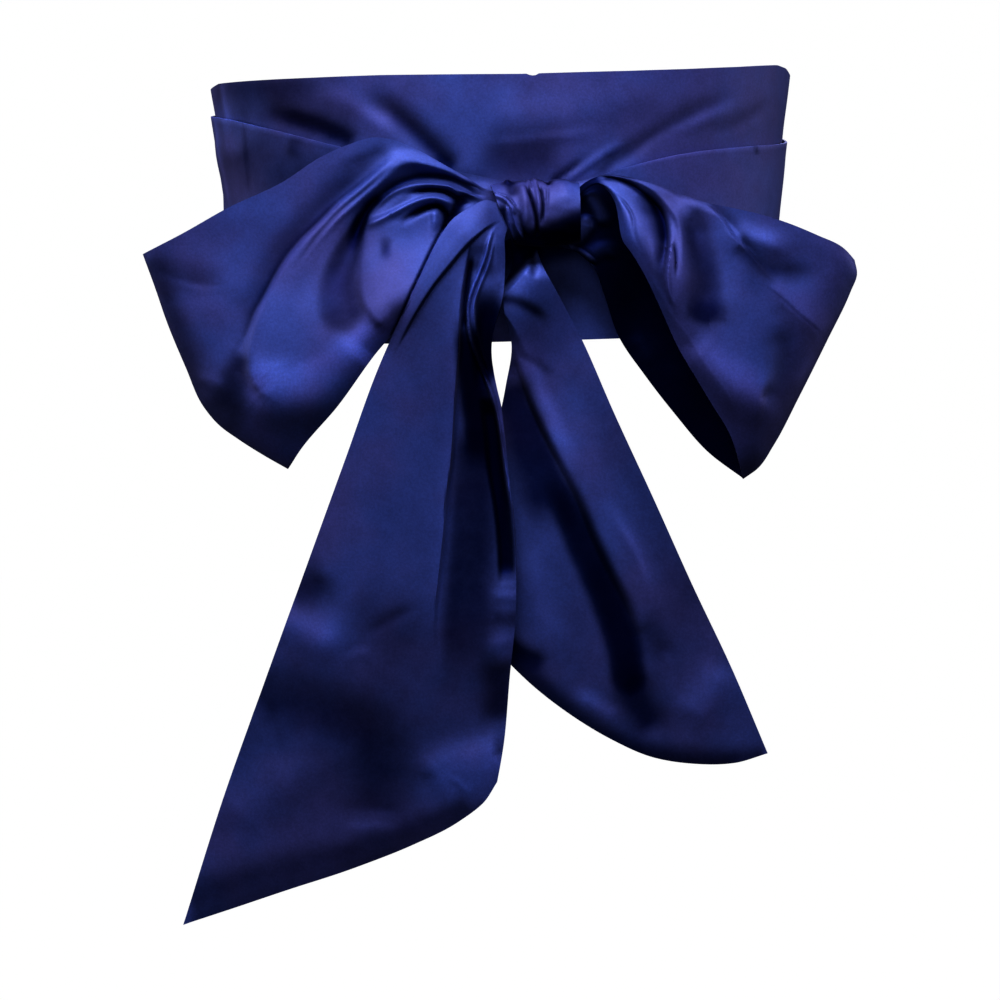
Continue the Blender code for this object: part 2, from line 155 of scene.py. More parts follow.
@dataclass(frozen=True)
class Fold:
    """A ridge (height above 0) or trough (below 0) along a path, with painted shade or a painted
    highlight from its tone.

    A narrow side and a wide side make a tucked edge: the cloth rises slowly and drops at once.
    """
    name: str
    path: Path
    height: float
    left: float             # half width on the left of the path, looking along it
    right: float            # half width on the right
    fade: float = 0.15      # share of the path over which it rises at its start; 0 ends it round
    settle: float = 0.3     # share over which it falls away at its end; 0 ends it round
    crest: float = 2.0      # 1 is a sharp crest, 2 a soft one, 4 a flat top
    widen: float = 1.0      # width at the path's end, as a share of the width at its start
    tone: float = 0.0       # painted light: below 0 it paints shade on the cloth there, above 0 a highlight
    steps: int = 20         # straight stretches that the path is read in

    def form_at(self, first: np.ndarray, second: np.ndarray) -> np.ndarray:
        """Find how far the fold stands out, and how much shade or highlight it paints.

        Args:
            first: First coordinate of each place, as in the path.
            second: Second coordinate of each place.

        Returns:
            Two rows: the height and the tone of painted light.
        """
        path = rail_at(self.path, np.linspace(0.0, 1.0, self.steps + 1))
        start, run = path[:-1, :, None], np.diff(path, axis=0)[:, :, None]
        length = np.maximum(np.hypot(run[:, 0], run[:, 1]), LEAST_STEP)
        away = np.stack((first, second)) - start
        share = np.clip((away * run).sum(axis=1) / length ** 2, 0.0, 1.0)
        away = away - share[:, None] * run
        distance = np.hypot(away[:, 0], away[:, 1])
        nearest = distance.min(axis=0)
        weight = np.exp((nearest - distance) / BEND_BLEND)
        weight /= weight.sum(axis=0)
        along = (weight * (np.arange(self.steps)[:, None] + share) / self.steps).sum(axis=0)
        aside = run[:, 0] * away[:, 1] - run[:, 1] * away[:, 0]
        side = np.take_along_axis(aside, distance.argmin(axis=0)[None], axis=0)[0]
        width = np.where(side > 0, self.left, self.right) * (1.0 + (self.widen - 1.0) * along)
        ends = np.ones_like(along)
        if self.fade:
            ends = ends * smooth_step(0.0, self.fade, along)
        if self.settle:
            ends = ends * smooth_step(0.0, self.settle, 1.0 - along)
        shape = ends * np.exp(-(nearest / width) ** self.crest)
        return np.array((self.height * shape, self.tone * shape))


def shade(name: str, path: Path, tone: float, left: float, right: float, *rest: float,
          **more: float) -> Fold:
    """Make a fold that has no height and only paints shade or a highlight on the cloth.

    Args:
        name: What it stands for.
        path: The line that it follows.
        tone: How bright the painted light is, below 0 for painted shade.
        left: Half width on the left of the path.
        right: Half width on the right.
        rest: Fade and settle, as in a Fold.
        more: Any of a Fold's other fields.

    Returns:
        The fold.
    """
    return Fold(name, path, 0.0, left, right, *rest, tone=tone, **more)


@dataclass(frozen=True)
class Slack:
    """The cloth's own small unevenness: a few soft waves, the same in each run."""
    height: float
    span: float             # usual length of a wave
    seed: int
    waves: int = 9
    spans: tuple[float, float] = (0.6, 1.6)     # shortest and longest pitch, as shares of the usual

    def form_at(self, first: np.ndarray, second: np.ndarray) -> np.ndarray:
        """Find how far the waves stand out.

        Args:
            first: First coordinate of each place, as in the folds' paths.
            second: Second coordinate of each place.

        Returns:
            Two rows like a fold's: the height, and a tone of 0.
        """
        chance = np.random.default_rng(self.seed)
        total = np.zeros_like(first)
        for _ in range(self.waves):
            turn = chance.uniform(0.0, math.tau)
            pitch = math.tau / (self.span * chance.uniform(*self.spans))
            shift = chance.uniform(0.0, math.tau)
            total += np.sin((first * math.cos(turn) + second * math.sin(turn)) * pitch + shift)
        return np.array((total * self.height / math.sqrt(self.waves), np.zeros_like(first)))


def folded(folds: tuple, first: np.ndarray, second: np.ndarray) -> np.ndarray:
    """Sum the forms of folds and slack.

    Args:
        folds: Fold and Slack values.
        first: First coordinate of each place, as in the folds' paths.
        second: Second coordinate of each place.

    Returns:
        Two rows: the height and the tone of painted light.
    """
    return sum(fold.form_at(first, second) for fold in folds)


# ---------------------------------------------------------------- shader maths


@dataclass(frozen=True)
class Signal:
    """A node's output that Python's operators work on."""
    graph: "Graph"
    socket: bpy.types.NodeSocket

    def __add__(self, other: "Signal | float") -> "Signal":
        """Add another value."""
        return self.graph.maths("ADD", self, other)

    __radd__ = __add__

    def __sub__(self, other: "Signal | float") -> "Signal":
        """Take another value away."""
        return self.graph.maths("SUBTRACT", self, other)

    def __rsub__(self, other: "Signal | float") -> "Signal":
        """Take this away from another value."""
        return self.graph.maths("SUBTRACT", other, self)

    def __mul__(self, other: "Signal | float") -> "Signal":
        """Multiply by another value."""
        return self.graph.maths("MULTIPLY", self, other)

    __rmul__ = __mul__

    def clamped(self) -> "Signal":
        """Keep it from 0 to 1."""
        return self.graph.maths("MULTIPLY", self, 1.0, clamp=True)


class Graph:
    """One material's nodes, made and linked in a few words."""

    def __init__(self, name: str) -> None:
        """Start a material with a Principled shader alone.

        Args:
            name: The material's name.
        """
        self.material = bpy.data.materials.new(name)
        self.material.use_nodes = True
        self.tree = self.material.node_tree
        self.shader = self.tree.nodes["Principled BSDF"]

    def link(self, socket: bpy.types.NodeSocket, value: object) -> None:
        """Give a socket a link or a plain value.

        Args:
            socket: The input to set.
            value: A Signal to link to it, or a plain value.
        """
        if isinstance(value, Signal):
            self.tree.links.new(value.socket, socket)
        else:
            socket.default_value = value

    def finish(self, sockets: dict) -> None:
        """Give the shader's sockets their links and values."""
        for key, value in sockets.items():
            self.link(self.shader.inputs[key], value)

    def node(self, kind: str, settings: dict, sockets: dict) -> bpy.types.Node:
        """Make one node.

        Args:
            kind: The node's type, such as ShaderNodeTexNoise.
            settings: Its properties, which are set before its sockets.
            sockets: A value or a Signal for each input, by name or number.

        Returns:
            The new node.
        """
        node = self.tree.nodes.new(kind)
        for key, value in settings.items():
            setattr(node, key, value)
        for key, value in sockets.items():
            self.link(node.inputs[key], value)
        return node

    def signal(self, node: bpy.types.Node, output: str | int = 0) -> Signal:
        """Take one of a node's outputs."""
        return Signal(self, node.outputs[output])

    def maths(self, operation: str, one: Signal | float, two: Signal | float,
              clamp: bool = False) -> Signal:
        """Join two values by a Math node."""
        settings = {"operation": operation, "use_clamp": clamp}
        return self.signal(self.node("ShaderNodeMath", settings, {0: one, 1: two}))

    def noise(self, place: Signal, scale: float, detail: float, roughness: float) -> Signal:
        """Read a noise from 0 to 1."""
        sockets = {"Vector": place, "Scale": scale, "Detail": detail, "Roughness": roughness}
        return self.signal(self.node("ShaderNodeTexNoise", {"noise_dimensions": "3D"}, sockets))

    def spread(self, value: Signal, low: float, high: float) -> Signal:
        """Stretch the stretch from low to high over 0 to 1, with soft ends."""
        sockets = {"Value": value, "From Min": low, "From Max": high}
        return self.signal(self.node("ShaderNodeMapRange", {"interpolation_type": "SMOOTHSTEP"},
                                     sockets))

    def blend(self, share: Signal | float, one: Signal | tuple, two: Signal | tuple) -> Signal:
        """Mix two colours, whose sockets on the node are 6 and 7, and 2 for the result."""
        sockets = {0: share, 6: one, 7: two}
        return self.signal(self.node("ShaderNodeMix", {"data_type": "RGBA"}, sockets), 2)


# ---------------------------------------------------------------- finishes


@dataclass(frozen=True)
class SatinFinish:
    """Soft navy satin: bluer in some patches and more plum in others, over a fine smooth weave, with
    painted shade and painted highlights.
    """
    blue: tuple = (0.036, 0.072, 0.33, 1.0)
    plum: tuple = (0.055, 0.060, 0.265, 1.0)
    deep: tuple = (0.0010, 0.0020, 0.030)       # the colour that a hollow keeps under the darkest painted shade
    roughness: float = 0.66
    metallic: float = 0.52
    hollow_metal: float = 0.9       # how much more of it shows where the painted shade is dark
    gloss: float = 0.95             # the whitish glint on the thread, as a specular level
    sheen: float = 0.05
    sheen_roughness: float = 0.35
    sheen_tint: tuple = (0.42, 0.36, 0.50, 1.0)
    cloud_scale: float = 16.0       # per metre: soft patches of tone
    cloud_noise: tuple = (3.0, 0.55)            # the noise's detail and roughness
    cloud_range: tuple = (0.38, 0.66)           # from the bluest cloud to the plummest
    cloud_rough: float = 0.10       # how much rougher one cloud is than another
    mottle_scale: float = 110.0     # per metre: small uneven patches
    mottle_noise: tuple = (4.0, 0.6)
    mottle_depth: float = 0.2
    grain_scale: float = 900.0      # per metre: the thread's sparkle
    grain_noise: tuple = (2.0, 0.7)
    grain_range: tuple = (0.30, 0.74)           # from a shaded thread to a bright one
    grain_rough: float = 0.06
    thread_shade: tuple = (0.74, 0.74, 0.78, 1.0)
    least_lit: float = 0.08         # the least painted light, in the deepest painted-dark hollow
    weave_strength: float = 0.5
    weave_depth: float = 0.00008

    def material(self, name: str) -> bpy.types.Material:
        """Make the satin for one piece.

        Args:
            name: The piece's name.

        Returns:
            The material.
        """
        graph = Graph(name + "_satin")
        place = graph.signal(graph.node("ShaderNodeTexCoord", {}, {}), "Object")
        cloud = graph.noise(place, self.cloud_scale, *self.cloud_noise)
        grain = graph.noise(place, self.grain_scale, *self.grain_noise)
        tone = graph.blend(graph.spread(cloud, *self.cloud_range), self.blue, self.plum)
        fleck = graph.spread(grain, *self.grain_range)
        dark = graph.blend(1.0, tone, self.thread_shade)
        dark.socket.node.blend_type = "MULTIPLY"
        # Painted light: the tone attribute darkens the base colour in hollows, creases and loop
        # insides, and brightens it on shining folds
        painted_value = graph.signal(graph.node("ShaderNodeAttribute", {"attribute_name": PAINTED_LIGHT_ATTR}, {}), "Fac")
        mottle = graph.noise(place, self.mottle_scale, *self.mottle_noise) * self.mottle_depth
        # lit: the painted light plus random mottle, never below least_lit
        lit = graph.maths("MAXIMUM", painted_value + mottle + (1.0 - self.mottle_depth / 2.0), self.least_lit)
        # Base colour: the satin's colour times the square of lit, plus a navy floor for painted-dark
        # hollows
        cloth = graph.node("ShaderNodeVectorMath", {"operation": "MULTIPLY_ADD"}, {
            0: graph.blend(fleck, dark, tone), 1: lit * lit, 2: self.deep})
        # Painted shade also turns the cloth more metallic, which darkens it further
        metal = ((1.0 - lit) * self.hollow_metal + self.metallic).clamped()
        middle_rough = self.roughness - (self.cloud_rough + self.grain_rough) / 2.0
        rough = cloud * self.cloud_rough + grain * self.grain_rough + middle_rough
        bump = graph.node("ShaderNodeBump", {}, {
            "Height": grain, "Strength": self.weave_strength, "Distance": self.weave_depth})
        graph.finish({
            "Base Color": graph.signal(cloth), "Metallic": metal, "Roughness": rough,
            "Normal": graph.signal(bump), "Specular IOR Level": self.gloss,
            "Sheen Weight": self.sheen, "Sheen Roughness": self.sheen_roughness,
            "Sheen Tint": self.sheen_tint})
        return graph.material


# ---------------------------------------------------------------- pieces of cloth


@dataclass
class ClothPiece:
    """One stretch of the sash: shaped from a flat grid, given a wall, dressed and attached to its body.
    """
    name: str
    cells: tuple[int, int]              # grid cells along and across
    flat: tuple[float, float]           # the cut's width and length, mm
    held: Held
    rests_on: tuple[str, ...]
    area: float | None = None           # the part of the cut that isn't tucked away, mm2
    turned: bool = False                # whether the flat grid's upper side ends up inside
    wall: float = 1.0
    seam_merge: float = 0.00001
    inside_painted_shade: float = 0.0            # painted shade on its inner face
    smooth_angle: float = 50.0          # degrees between faces, past which an edge stays crisp

    def place(self, along: np.ndarray, across: np.ndarray) -> tuple[np.ndarray, np.ndarray]:
        """Find the outer face's points.

        Args:
            along: Shares of the cut's length.
            across: Shares of its width.

        Returns:
            One (x, y, z) point in millimetres and one tone of painted light for each pair of shares.
        """
        raise NotImplementedError

    def build(self, finish: SatinFinish) -> bpy.types.Object:
        """Args:
            finish: The satin.

        Returns:
            The finished object.
        """
        bpy.ops.object.select_all(action="DESELECT")
        bpy.ops.mesh.primitive_grid_add(x_subdivisions=self.cells[0], y_subdivisions=self.cells[1],
                                        size=1.0, location=(0.5, 0.5, 0.0))
        piece = bpy.context.object
        piece.name = piece.data.name = self.name + "_cloth"
        bpy.ops.object.transform_apply(location=True)
        flat = np.empty(len(piece.data.vertices) * 3)
        piece.data.vertices.foreach_get("co", flat)
        shares = np.clip(flat.reshape(-1, 3), 0.0, 1.0)
        points, painted_tones = self.place(shares[:, 0], shares[:, 1])
        piece.data.vertices.foreach_set("co", (points * MM).ravel())
        # The tone attribute holds the painted shade and painted highlights
        piece.data.attributes.new(PAINTED_LIGHT_ATTR, "FLOAT", "POINT").data.foreach_set("value", painted_tones)
        self.finish_mesh(piece)
        piece.data.materials.append(finish.material(self.name))
        self.declare(piece)
        return piece

    def finish_mesh(self, piece: bpy.types.Object) -> None:
        """Close the seams, turn the faces out, give the cloth its wall and paint shade on its inner
        face.

        Args:
            piece: The shaped grid, which is the cloth's outer face.
        """
        bpy.ops.object.mode_set(mode="EDIT")
        bpy.ops.mesh.select_all(action="SELECT")
        bpy.ops.mesh.remove_doubles(threshold=self.seam_merge)
        if self.turned:
            bpy.ops.mesh.flip_normals()
        bpy.ops.object.mode_set(mode="OBJECT")
        wall = piece.modifiers.new("wall", "SOLIDIFY")
        wall.thickness = self.wall * MM
        wall.offset = -1.0
        wall.use_quality_normals = True
        outer = len(piece.data.vertices)
        bpy.ops.object.modifier_apply(modifier=wall.name)
        # Painted shade on the inner face, which darkens the loops' insides
        painted_tones = np.empty(len(piece.data.vertices))
        piece.data.attributes[PAINTED_LIGHT_ATTR].data.foreach_get("value", painted_tones)
        painted_tones[outer:] += self.inside_painted_shade
        piece.data.attributes[PAINTED_LIGHT_ATTR].data.foreach_set("value", painted_tones)
        bpy.ops.object.shade_smooth_by_angle(angle=math.radians(self.smooth_angle))

    def declare(self, piece: bpy.types.Object) -> None:
        """Attach the piece to its body, hide the solid that it stands for, and log its size.

        Args:
            piece: The finished cloth.
        """
        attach(piece, BODY)
        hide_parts(self.name)
        self.flat[0] * MM
        self.flat[1] * MM
        triangles = sum(len(face.vertices) - 2 for face in piece.data.polygons)
        cut = self.area or self.flat[0] * self.flat[1]
        share = sum(face.area for face in piece.data.polygons) / 2.0 / (cut * MM * MM)
        LOG.info("%s: %d triangles, %.2f of its cut", piece.name, triangles, share)


@dataclass(frozen=True)
class Waist:
    """The oval that the sash is wound round, mm."""
    half_height: float = 60.5
    half_width: float = 131.0
    half_depth: float = 95.0
    squareness: float = 2.2
    flare: float = 8.0

    def point(self, angle: np.ndarray, height: np.ndarray, out: np.ndarray) -> np.ndarray:
        """Find a point on or outside the oval.

        Args:
            angle: Angle round the waist from the front, towards +X.
            height: Height over the band's middle.
            out: Distance out from the band's plain face.

        Returns:
            One (x, y, z) point for each place.
        """
        flare = 1.0 + self.flare / self.half_width * (height / self.half_height)
        across = np.abs(np.sin(angle)) / (self.half_width * flare)
        deep = np.abs(np.cos(angle)) / self.half_depth
        radius = (across ** self.squareness + deep ** self.squareness) ** (-1 / self.squareness)
        radius = radius + out
        return np.column_stack((radius * np.sin(angle), -radius * np.cos(angle), height))


# The band's own folds, which run towards the knot: (x, z) on the front
# Their tones paint shade, such as the knot's shadow below it, and highlights on the ridges
BAND_FRONT_FOLDS = (
    Fold("left drag trough", ((-66, 51), (-53, 45), (-42, 36), (-33, 27.5), (-23, 17)), -2.4, 6, 5, 0.3,
         0.1, widen=0.9),
    shade("left drag shade", ((-62, 50), (-54, 46), (-45.5, 39.5), (-38, 33), (-31, 26.5), (-21, 17)),
          -0.48, 4.6, 4.2, 0.35, 0.1),
    Fold("left low trough", ((-112, 46), (-97, 42), (-83, 37), (-66, 29)), -1.4, 5, 5, 0.2, 0.2),
    shade("left low shade", ((-112, 46), (-97, 43), (-83.5, 38.7), (-67, 31)), -0.48, 3.2, 4, 0.35, 0.1,
          widen=1.3),
    Fold("left ridge", ((-88, 55), (-75, 51), (-62, 43.5), (-50, 36), (-42, 31)), 0.8, 4, 4, 0.3,
         tone=0.08),
    shade("dark upper corner", ((-138, 60), (-118, 59), (-98, 58), (-70, 60)), -0.34, 5, 9, 0.1, 0.5),
    shade("quiet left side", ((-130, 48), (-104, 46), (-80, 40), (-60, 30)), -0.22, 12, 10),
    Fold("right drag trough", ((108, 50), (82, 38), (66, 29), (44, 17)), -1.5, 4, 4, 0.3, 0.1,
         widen=0.9),
    shade("right drag shade", ((110, 50.5), (99, 45), (82, 37.5), (68, 31), (58, 23.5), (40, 15)), -0.3,
          2.6, 2.6, 0.35, 0.1, widen=0.8),
    Fold("right ridge", ((112, 45), (94, 38.7), (75, 32.4), (58, 22)), 0.9, 3, 3, 0.3, tone=0.08),
    Fold("right low shade", ((126, 45), (117, 39.8), (104, 34), (90, 31)), -0.5, 2.6, 3, 0.3, 0.4,
         tone=-0.16),
    Fold("pulled ridge", ((60, 30), (50, 25.5), (38.5, 18.8), (28.5, 12)), 1, 1.2, 1.4, 0.4, 0.1,
         widen=0.9, tone=0.1),
    Fold("shade by the pull", ((38, 22), (30.3, 16.8), (23, 12)), -0.9, 1.5, 1.5, 0.4, 0.1, widen=0.9,
         tone=-0.4),
    Fold("soft drag line", ((-12, 27), (-2, 30), (9.3, 31), (34, 33), (48, 35)), 0.5, 1.2, 3, 0.3,
         tone=0.04),
    Fold("shade below the drag line", ((-16, 24), (0, 22), (16, 22), (32, 25)), -0.6, 12, 12, 0.3,
         tone=-0.34),
    shade("cloth over the loop", ((-34, 21), (-22, 15), (-8, 11)), -0.3, 5, 5, 0.2, 0.2),
    Fold("high soft ridge", ((-10, 42), (20, 40), (52, 46), (84, 54)), 1, 10, 9),
    Fold("low left pull", ((-60, -50), (-34, -36), (-8, -22)), -1.8, 8, 8),
    Fold("low right pull", ((90, -52), (62, -38), (38, -18)), -1.8, 8, 8),
    Fold("left side crease", ((-131, 60), (-129.5, 50), (-128, 40), (-126, 20)), 0.8, 2, 1.6, 0.05,
         crest=1.6, tone=0.25),
    shade("shade of the knot", ((-24, -24), (-4, -22), (16, -20), (40, -18)), -0.1, 16, 20, 0.2, 0.2),
    shade("dark below the knot", ((-14, -22), (4, -21), (18, -19), (30, -15), (38, -8)), -0.62, 14, 7,
          0.1, 0.1, crest=2.5),
    Fold("dimpled cloth", ((22, -30), (30, -36), (34, -46)), -0.7, 5, 5, 0.3, 0.4, tone=-0.16),
)
# Its folds behind the sides: (angle in degrees, height)
BAND_BACK_FOLDS = (
    Fold("left slack", ((236, 52), (228, 20), (236, -30)), 1.6, 9, 7),
    Fold("back left drag", ((218, 56), (200, 54), (188, 56)), -1.2, 7, 5),
    Fold("back right drag", ((130, 57), (150, 55), (168, 57)), -1.2, 6, 6),
    Fold("right slack", ((118, 54), (126, 30), (122, -10)), 1.5, 8, 9),
)


@dataclass
class WaistBand(ClothPiece):
    """The first turn of the sash, all round the waist."""
    name: str = "waist_band"
    cells: tuple[int, int] = (420, 64)
    flat: tuple[float, float] = (121.0, 745.0)
    held: Held = Held.STRETCHED
    rests_on: tuple[str, ...] = ()
    waist: Waist = field(default_factory=Waist)
    front_range: tuple[float, float] = (-10.0, 40.0)        # mm forward, where front folds come in
    slack: Slack = Slack(0.16, 34.0, 3)
    slack_radii: tuple[float, float] = (110.0, 60.0)        # the way round that its waves follow
    nick: tuple[float, float, float] = (14.5, 2.0, 0.9)     # a tuck on top: x, half width, depth
    nick_from: float = 0.9              # share of the height from which the tuck dips
    rim_from: float = 0.5               # the same for the rise of the edge
    back_rim: float = 0.5               # how much of that rise there is behind
    rim: Path = ((-140, -1.4), (-133, 0.8), (-118, 1.0), (-55, 1.1), (9, 0.0), (58, 0.5),
                 (85, 1.1), (110, 2.1), (130, 3.4), (135, 2.2), (140, -2.0))    # x, rise of the edge

    def forms_at(self, angle: np.ndarray, height: np.ndarray) -> tuple[np.ndarray, np.ndarray]:
        """Find how far the band's folds stand out, and how much shade or highlight they paint.

        Args:
            angle: Angle round the waist from the front, towards +X.
            height: Height over the band's middle.

        Returns:
            One distance out and one tone of painted light for each place.
        """
        spot = self.waist.point(angle, height, np.zeros_like(angle))
        near = smooth_step(*self.front_range, -spot[:, 1])
        front = folded(BAND_FRONT_FOLDS, spot[:, 0], height) * near
        back = folded(BAND_BACK_FOLDS, np.degrees(angle) % 360.0, height)
        wide, deep = self.slack_radii
        round_way = np.sin(angle) * wide + np.cos(angle) * deep
        out, painted_tones = front + back + self.slack.form_at(round_way, height)
        return out, painted_tones

    def place(self, along: np.ndarray, across: np.ndarray) -> tuple[np.ndarray, np.ndarray]:
        """Find the band's outer face.

        Args:
            along: Shares of the way round, from the front towards +X.
            across: Shares of the height, from the lower edge.

        Returns:
            One point and one tone for each pair of shares.
        """
        angle = along * math.tau
        height = (2.0 * across - 1.0) * self.waist.half_height
        out, painted_tones = self.forms_at(angle, height)
        points = self.waist.point(angle, height, out)
        middle, half, depth = self.nick
        dip = depth * np.exp(-((points[:, 0] - middle) / half) ** 4)
        dip = dip * smooth_step(self.nick_from, 1.0, across)
        places, rises = np.array(self.rim, dtype=float).T
        rise = np.interp(points[:, 0], places, rises) * smooth_step(self.rim_from, 1.0, across)
        points[:, 2] += np.where(points[:, 1] < 0, rise - dip, rise * self.back_rim)
        return points, painted_tones


@dataclass(frozen=True)
class WrapRow:
    """An outer wrap's lower and upper edge, mm, at one angle round the waist from the front."""
    angle: float
    bottom: float
    top: float


LEFT_WRAP = (
    WrapRow(-3, -13, 11), WrapRow(4, -17, 14), WrapRow(22, -33, 21), WrapRow(42, -48, 30),
    WrapRow(57, -56, 38), WrapRow(71, -59, 44), WrapRow(90, -60, 47), WrapRow(120, -60, 50),
    WrapRow(150, -59, 52), WrapRow(198, -58, 52),
)
RIGHT_WRAP = (
    WrapRow(5, -13, 7), WrapRow(21, -22, 12), WrapRow(31, -32, 17), WrapRow(46, -44, 23),
    WrapRow(64, -54, 26), WrapRow(76, -58, 27), WrapRow(95, -60, 30), WrapRow(120, -60, 39),
    WrapRow(150, -59, 49), WrapRow(198, -58, 52),
)
# The wraps' gathers: (angle in degrees, height)
# Their tones paint shade and highlights on the wrap
LEFT_WRAP_FOLDS = (
    Fold("upper gather", ((2, 5), (18, 9), (32, 13)), 2.6, 4, 5, widen=1.6),
    Fold("middle gather", ((2, -4), (20, -8), (36, -12)), 2.6, 4, 4, widen=1.8),
    Fold("lower gather", ((3, -11), (22, -25), (38, -36)), 2.6, 4, 4, widen=1.8),
    Fold("back high gather", ((128, 30), (150, 20), (172, 10), (190, 8)), 2.2, 9, 9, widen=0.6),
    Fold("back low gather", ((126, -34), (146, -24), (166, -16)), 2.4, 9, 9, widen=0.6),
    Fold("left side slack", ((84, -30), (98, 4), (108, 34)), 2, 9, 8),
    Fold("side crease", ((66, 42), (66.5, 24), (67, 2)), -0.5, 0.8, 0.8, 0.1, 0.4, tone=-0.16),
    Fold("side light", ((80, 47), (79, 24), (78, 0)), 0.4, 1.4, 1.4, 0.1, tone=0.22),
    Fold("edge crinkle", ((52, 34.5), (53, 30), (52, 25)), 0.7, 1.4, 1.8, 0.2, 0.4, tone=-0.2),
    shade("grey patch", ((70, 32), (60, 22), (47, 13)), -0.34, 13, 13, 0.2, 0.2),
    Slack(0.25, 26, 11),
)
# Their tones paint shade and highlights on the wrap
RIGHT_WRAP_FOLDS = (
    Fold("upper gather", ((10, 2), (20, 5), (30, 8)), 2.4, 4, 4, widen=1.6),
    Fold("middle gather", ((10, -5), (26, -10), (40, -15)), 2.6, 4, 4, widen=1.8),
    Fold("lower gather", ((12, -11), (28, -22), (42, -32)), 2.2, 4, 4, widen=1.8),
    Fold("back high gather", ((124, 26), (144, 18), (160, 12), (176, 8)), 2.2, 9, 9, widen=0.6),
    Fold("back low gather", ((122, -30), (144, -20), (164, -12), (184, -8)), 2.4, 9, 9, widen=0.6),
    Fold("right side slack", ((88, -36), (100, -8), (108, 18)), 2, 9, 8),
    Fold("edge pinch", ((65, 27), (65.6, 25), (66, 23)), 0.5, 0.8, 0.8, 0, 0.4, tone=-0.4),
    shade("light side", ((50, -12), (70, -6), (90, 0)), 0.08, 45, 45),
    Slack(0.12, 40, 12),
)


@dataclass
class OuterWrap(ClothPiece):
    """One outer wrap, from behind the knot round one side to the crossing at the back."""
    name: str = "wrap_left"
    cells: tuple[int, int] = (220, 72)
    flat: tuple[float, float] = (118.0, 372.0)
    held: Held = Held.GATHERED
    rests_on: tuple[str, ...] = ("waist_band",)
    rows: tuple[WrapRow, ...] = LEFT_WRAP
    folds: tuple = LEFT_WRAP_FOLDS
    side: Side = Side.LEFT
    tucked: bool = False                # whether it ends beneath the other wrap at the back
    layer: float = 2.2                  # one layer on the next, measured out from the waist
    swing: float = 19.0                 # degrees the crossing leans to each side of the middle
    tuck: float = 8.0                   # degrees the tucked wrap goes on beneath the other
    lean_from: float = 0.55             # share of its length from which its end slants
    hem: float = 0.12                   # share of the width over which gathers flatten at an edge
    hem_gather: float = 0.4             # how much of a gather is left at the edge itself
    flat_end: float = 2.5               # tucks before a tucked end from which gathers flatten
    edge_light: float = 0.3             # how bright the painted highlight on the folded upper edge is
    edge_width: float = 0.025           # that edge's share of the width
    edge_range: tuple[float, float] = (20.0, 40.0)      # degrees over which that painted highlight comes in
    shade_through: float = 0.5          # how much of the band's painted shade is painted on the wrap over it
    band: WaistBand = field(default_factory=WaistBand)

    def column(self, name: str, where: np.ndarray) -> np.ndarray:
        """Read one column of the rows at angles.

        Args:
            name: The column: bottom or top.
            where: Angles from the front, in degrees.

        Returns:
            The smooth value at each angle.
        """
        knots = np.array([row.angle for row in self.rows], dtype=float)
        values = np.array([getattr(row, name) for row in self.rows], dtype=float)
        return curve_at(knots, values, np.clip(where, knots[0], knots[-1]))

    def place(self, along: np.ndarray, across: np.ndarray) -> tuple[np.ndarray, np.ndarray]:
        """Find the wrap's outer face.

        Args:
            along: Shares of its length, from the knot to the crossing at the back.
            across: Shares of its width, from the lower edge.

        Returns:
            One point and one tone for each pair of shares.
        """
        swing = self.swing * np.sin((across - 0.5) * math.pi)
        middle, lean = (180.0 + self.tuck, -swing) if self.tucked else (180.0, swing)
        last = middle + lean
        start = self.rows[0].angle
        slant = lean * smooth_step(self.lean_from, 1.0, along)
        degrees = start + (middle - start) * along + slant
        bottom = self.column("bottom", degrees)
        top = self.column("top", degrees)
        height = bottom + (top - bottom) * across
        angle = np.radians(degrees) * self.side.value
        lift = np.ones_like(degrees)
        if not self.tucked:
            lift = 1.0 + smooth_step(-self.tuck * 2.0, -self.tuck, degrees - last)
        hold = smooth_step(0.0, self.hem, across) * smooth_step(0.0, self.hem, 1.0 - across)
        relief, painted_tones = folded(self.folds, degrees, height)
        gathers = np.maximum(relief, 0.0) * (self.hem_gather + (1.0 - self.hem_gather) * hold)
        if self.tucked:
            flat_from = last - self.flat_end * self.tuck
            gathers *= 1.0 - smooth_step(flat_from, last - self.tuck, degrees)
        base, band_painted_tones = self.band.forms_at(angle, height)
        out = np.maximum(base, 0.0) + self.layer * lift + gathers
        # A painted highlight along the folded upper edge, and the band's painted shade carried onto the
        # wrap
        shine = self.edge_light * smooth_step(1.0 - self.edge_width, 1.0, across)
        shine = shine * smooth_step(*self.edge_range, degrees)
        painted_tones = painted_tones + np.minimum(band_painted_tones, 0.0) * self.shade_through + shine
        return self.band.waist.point(angle, height, out), painted_tones
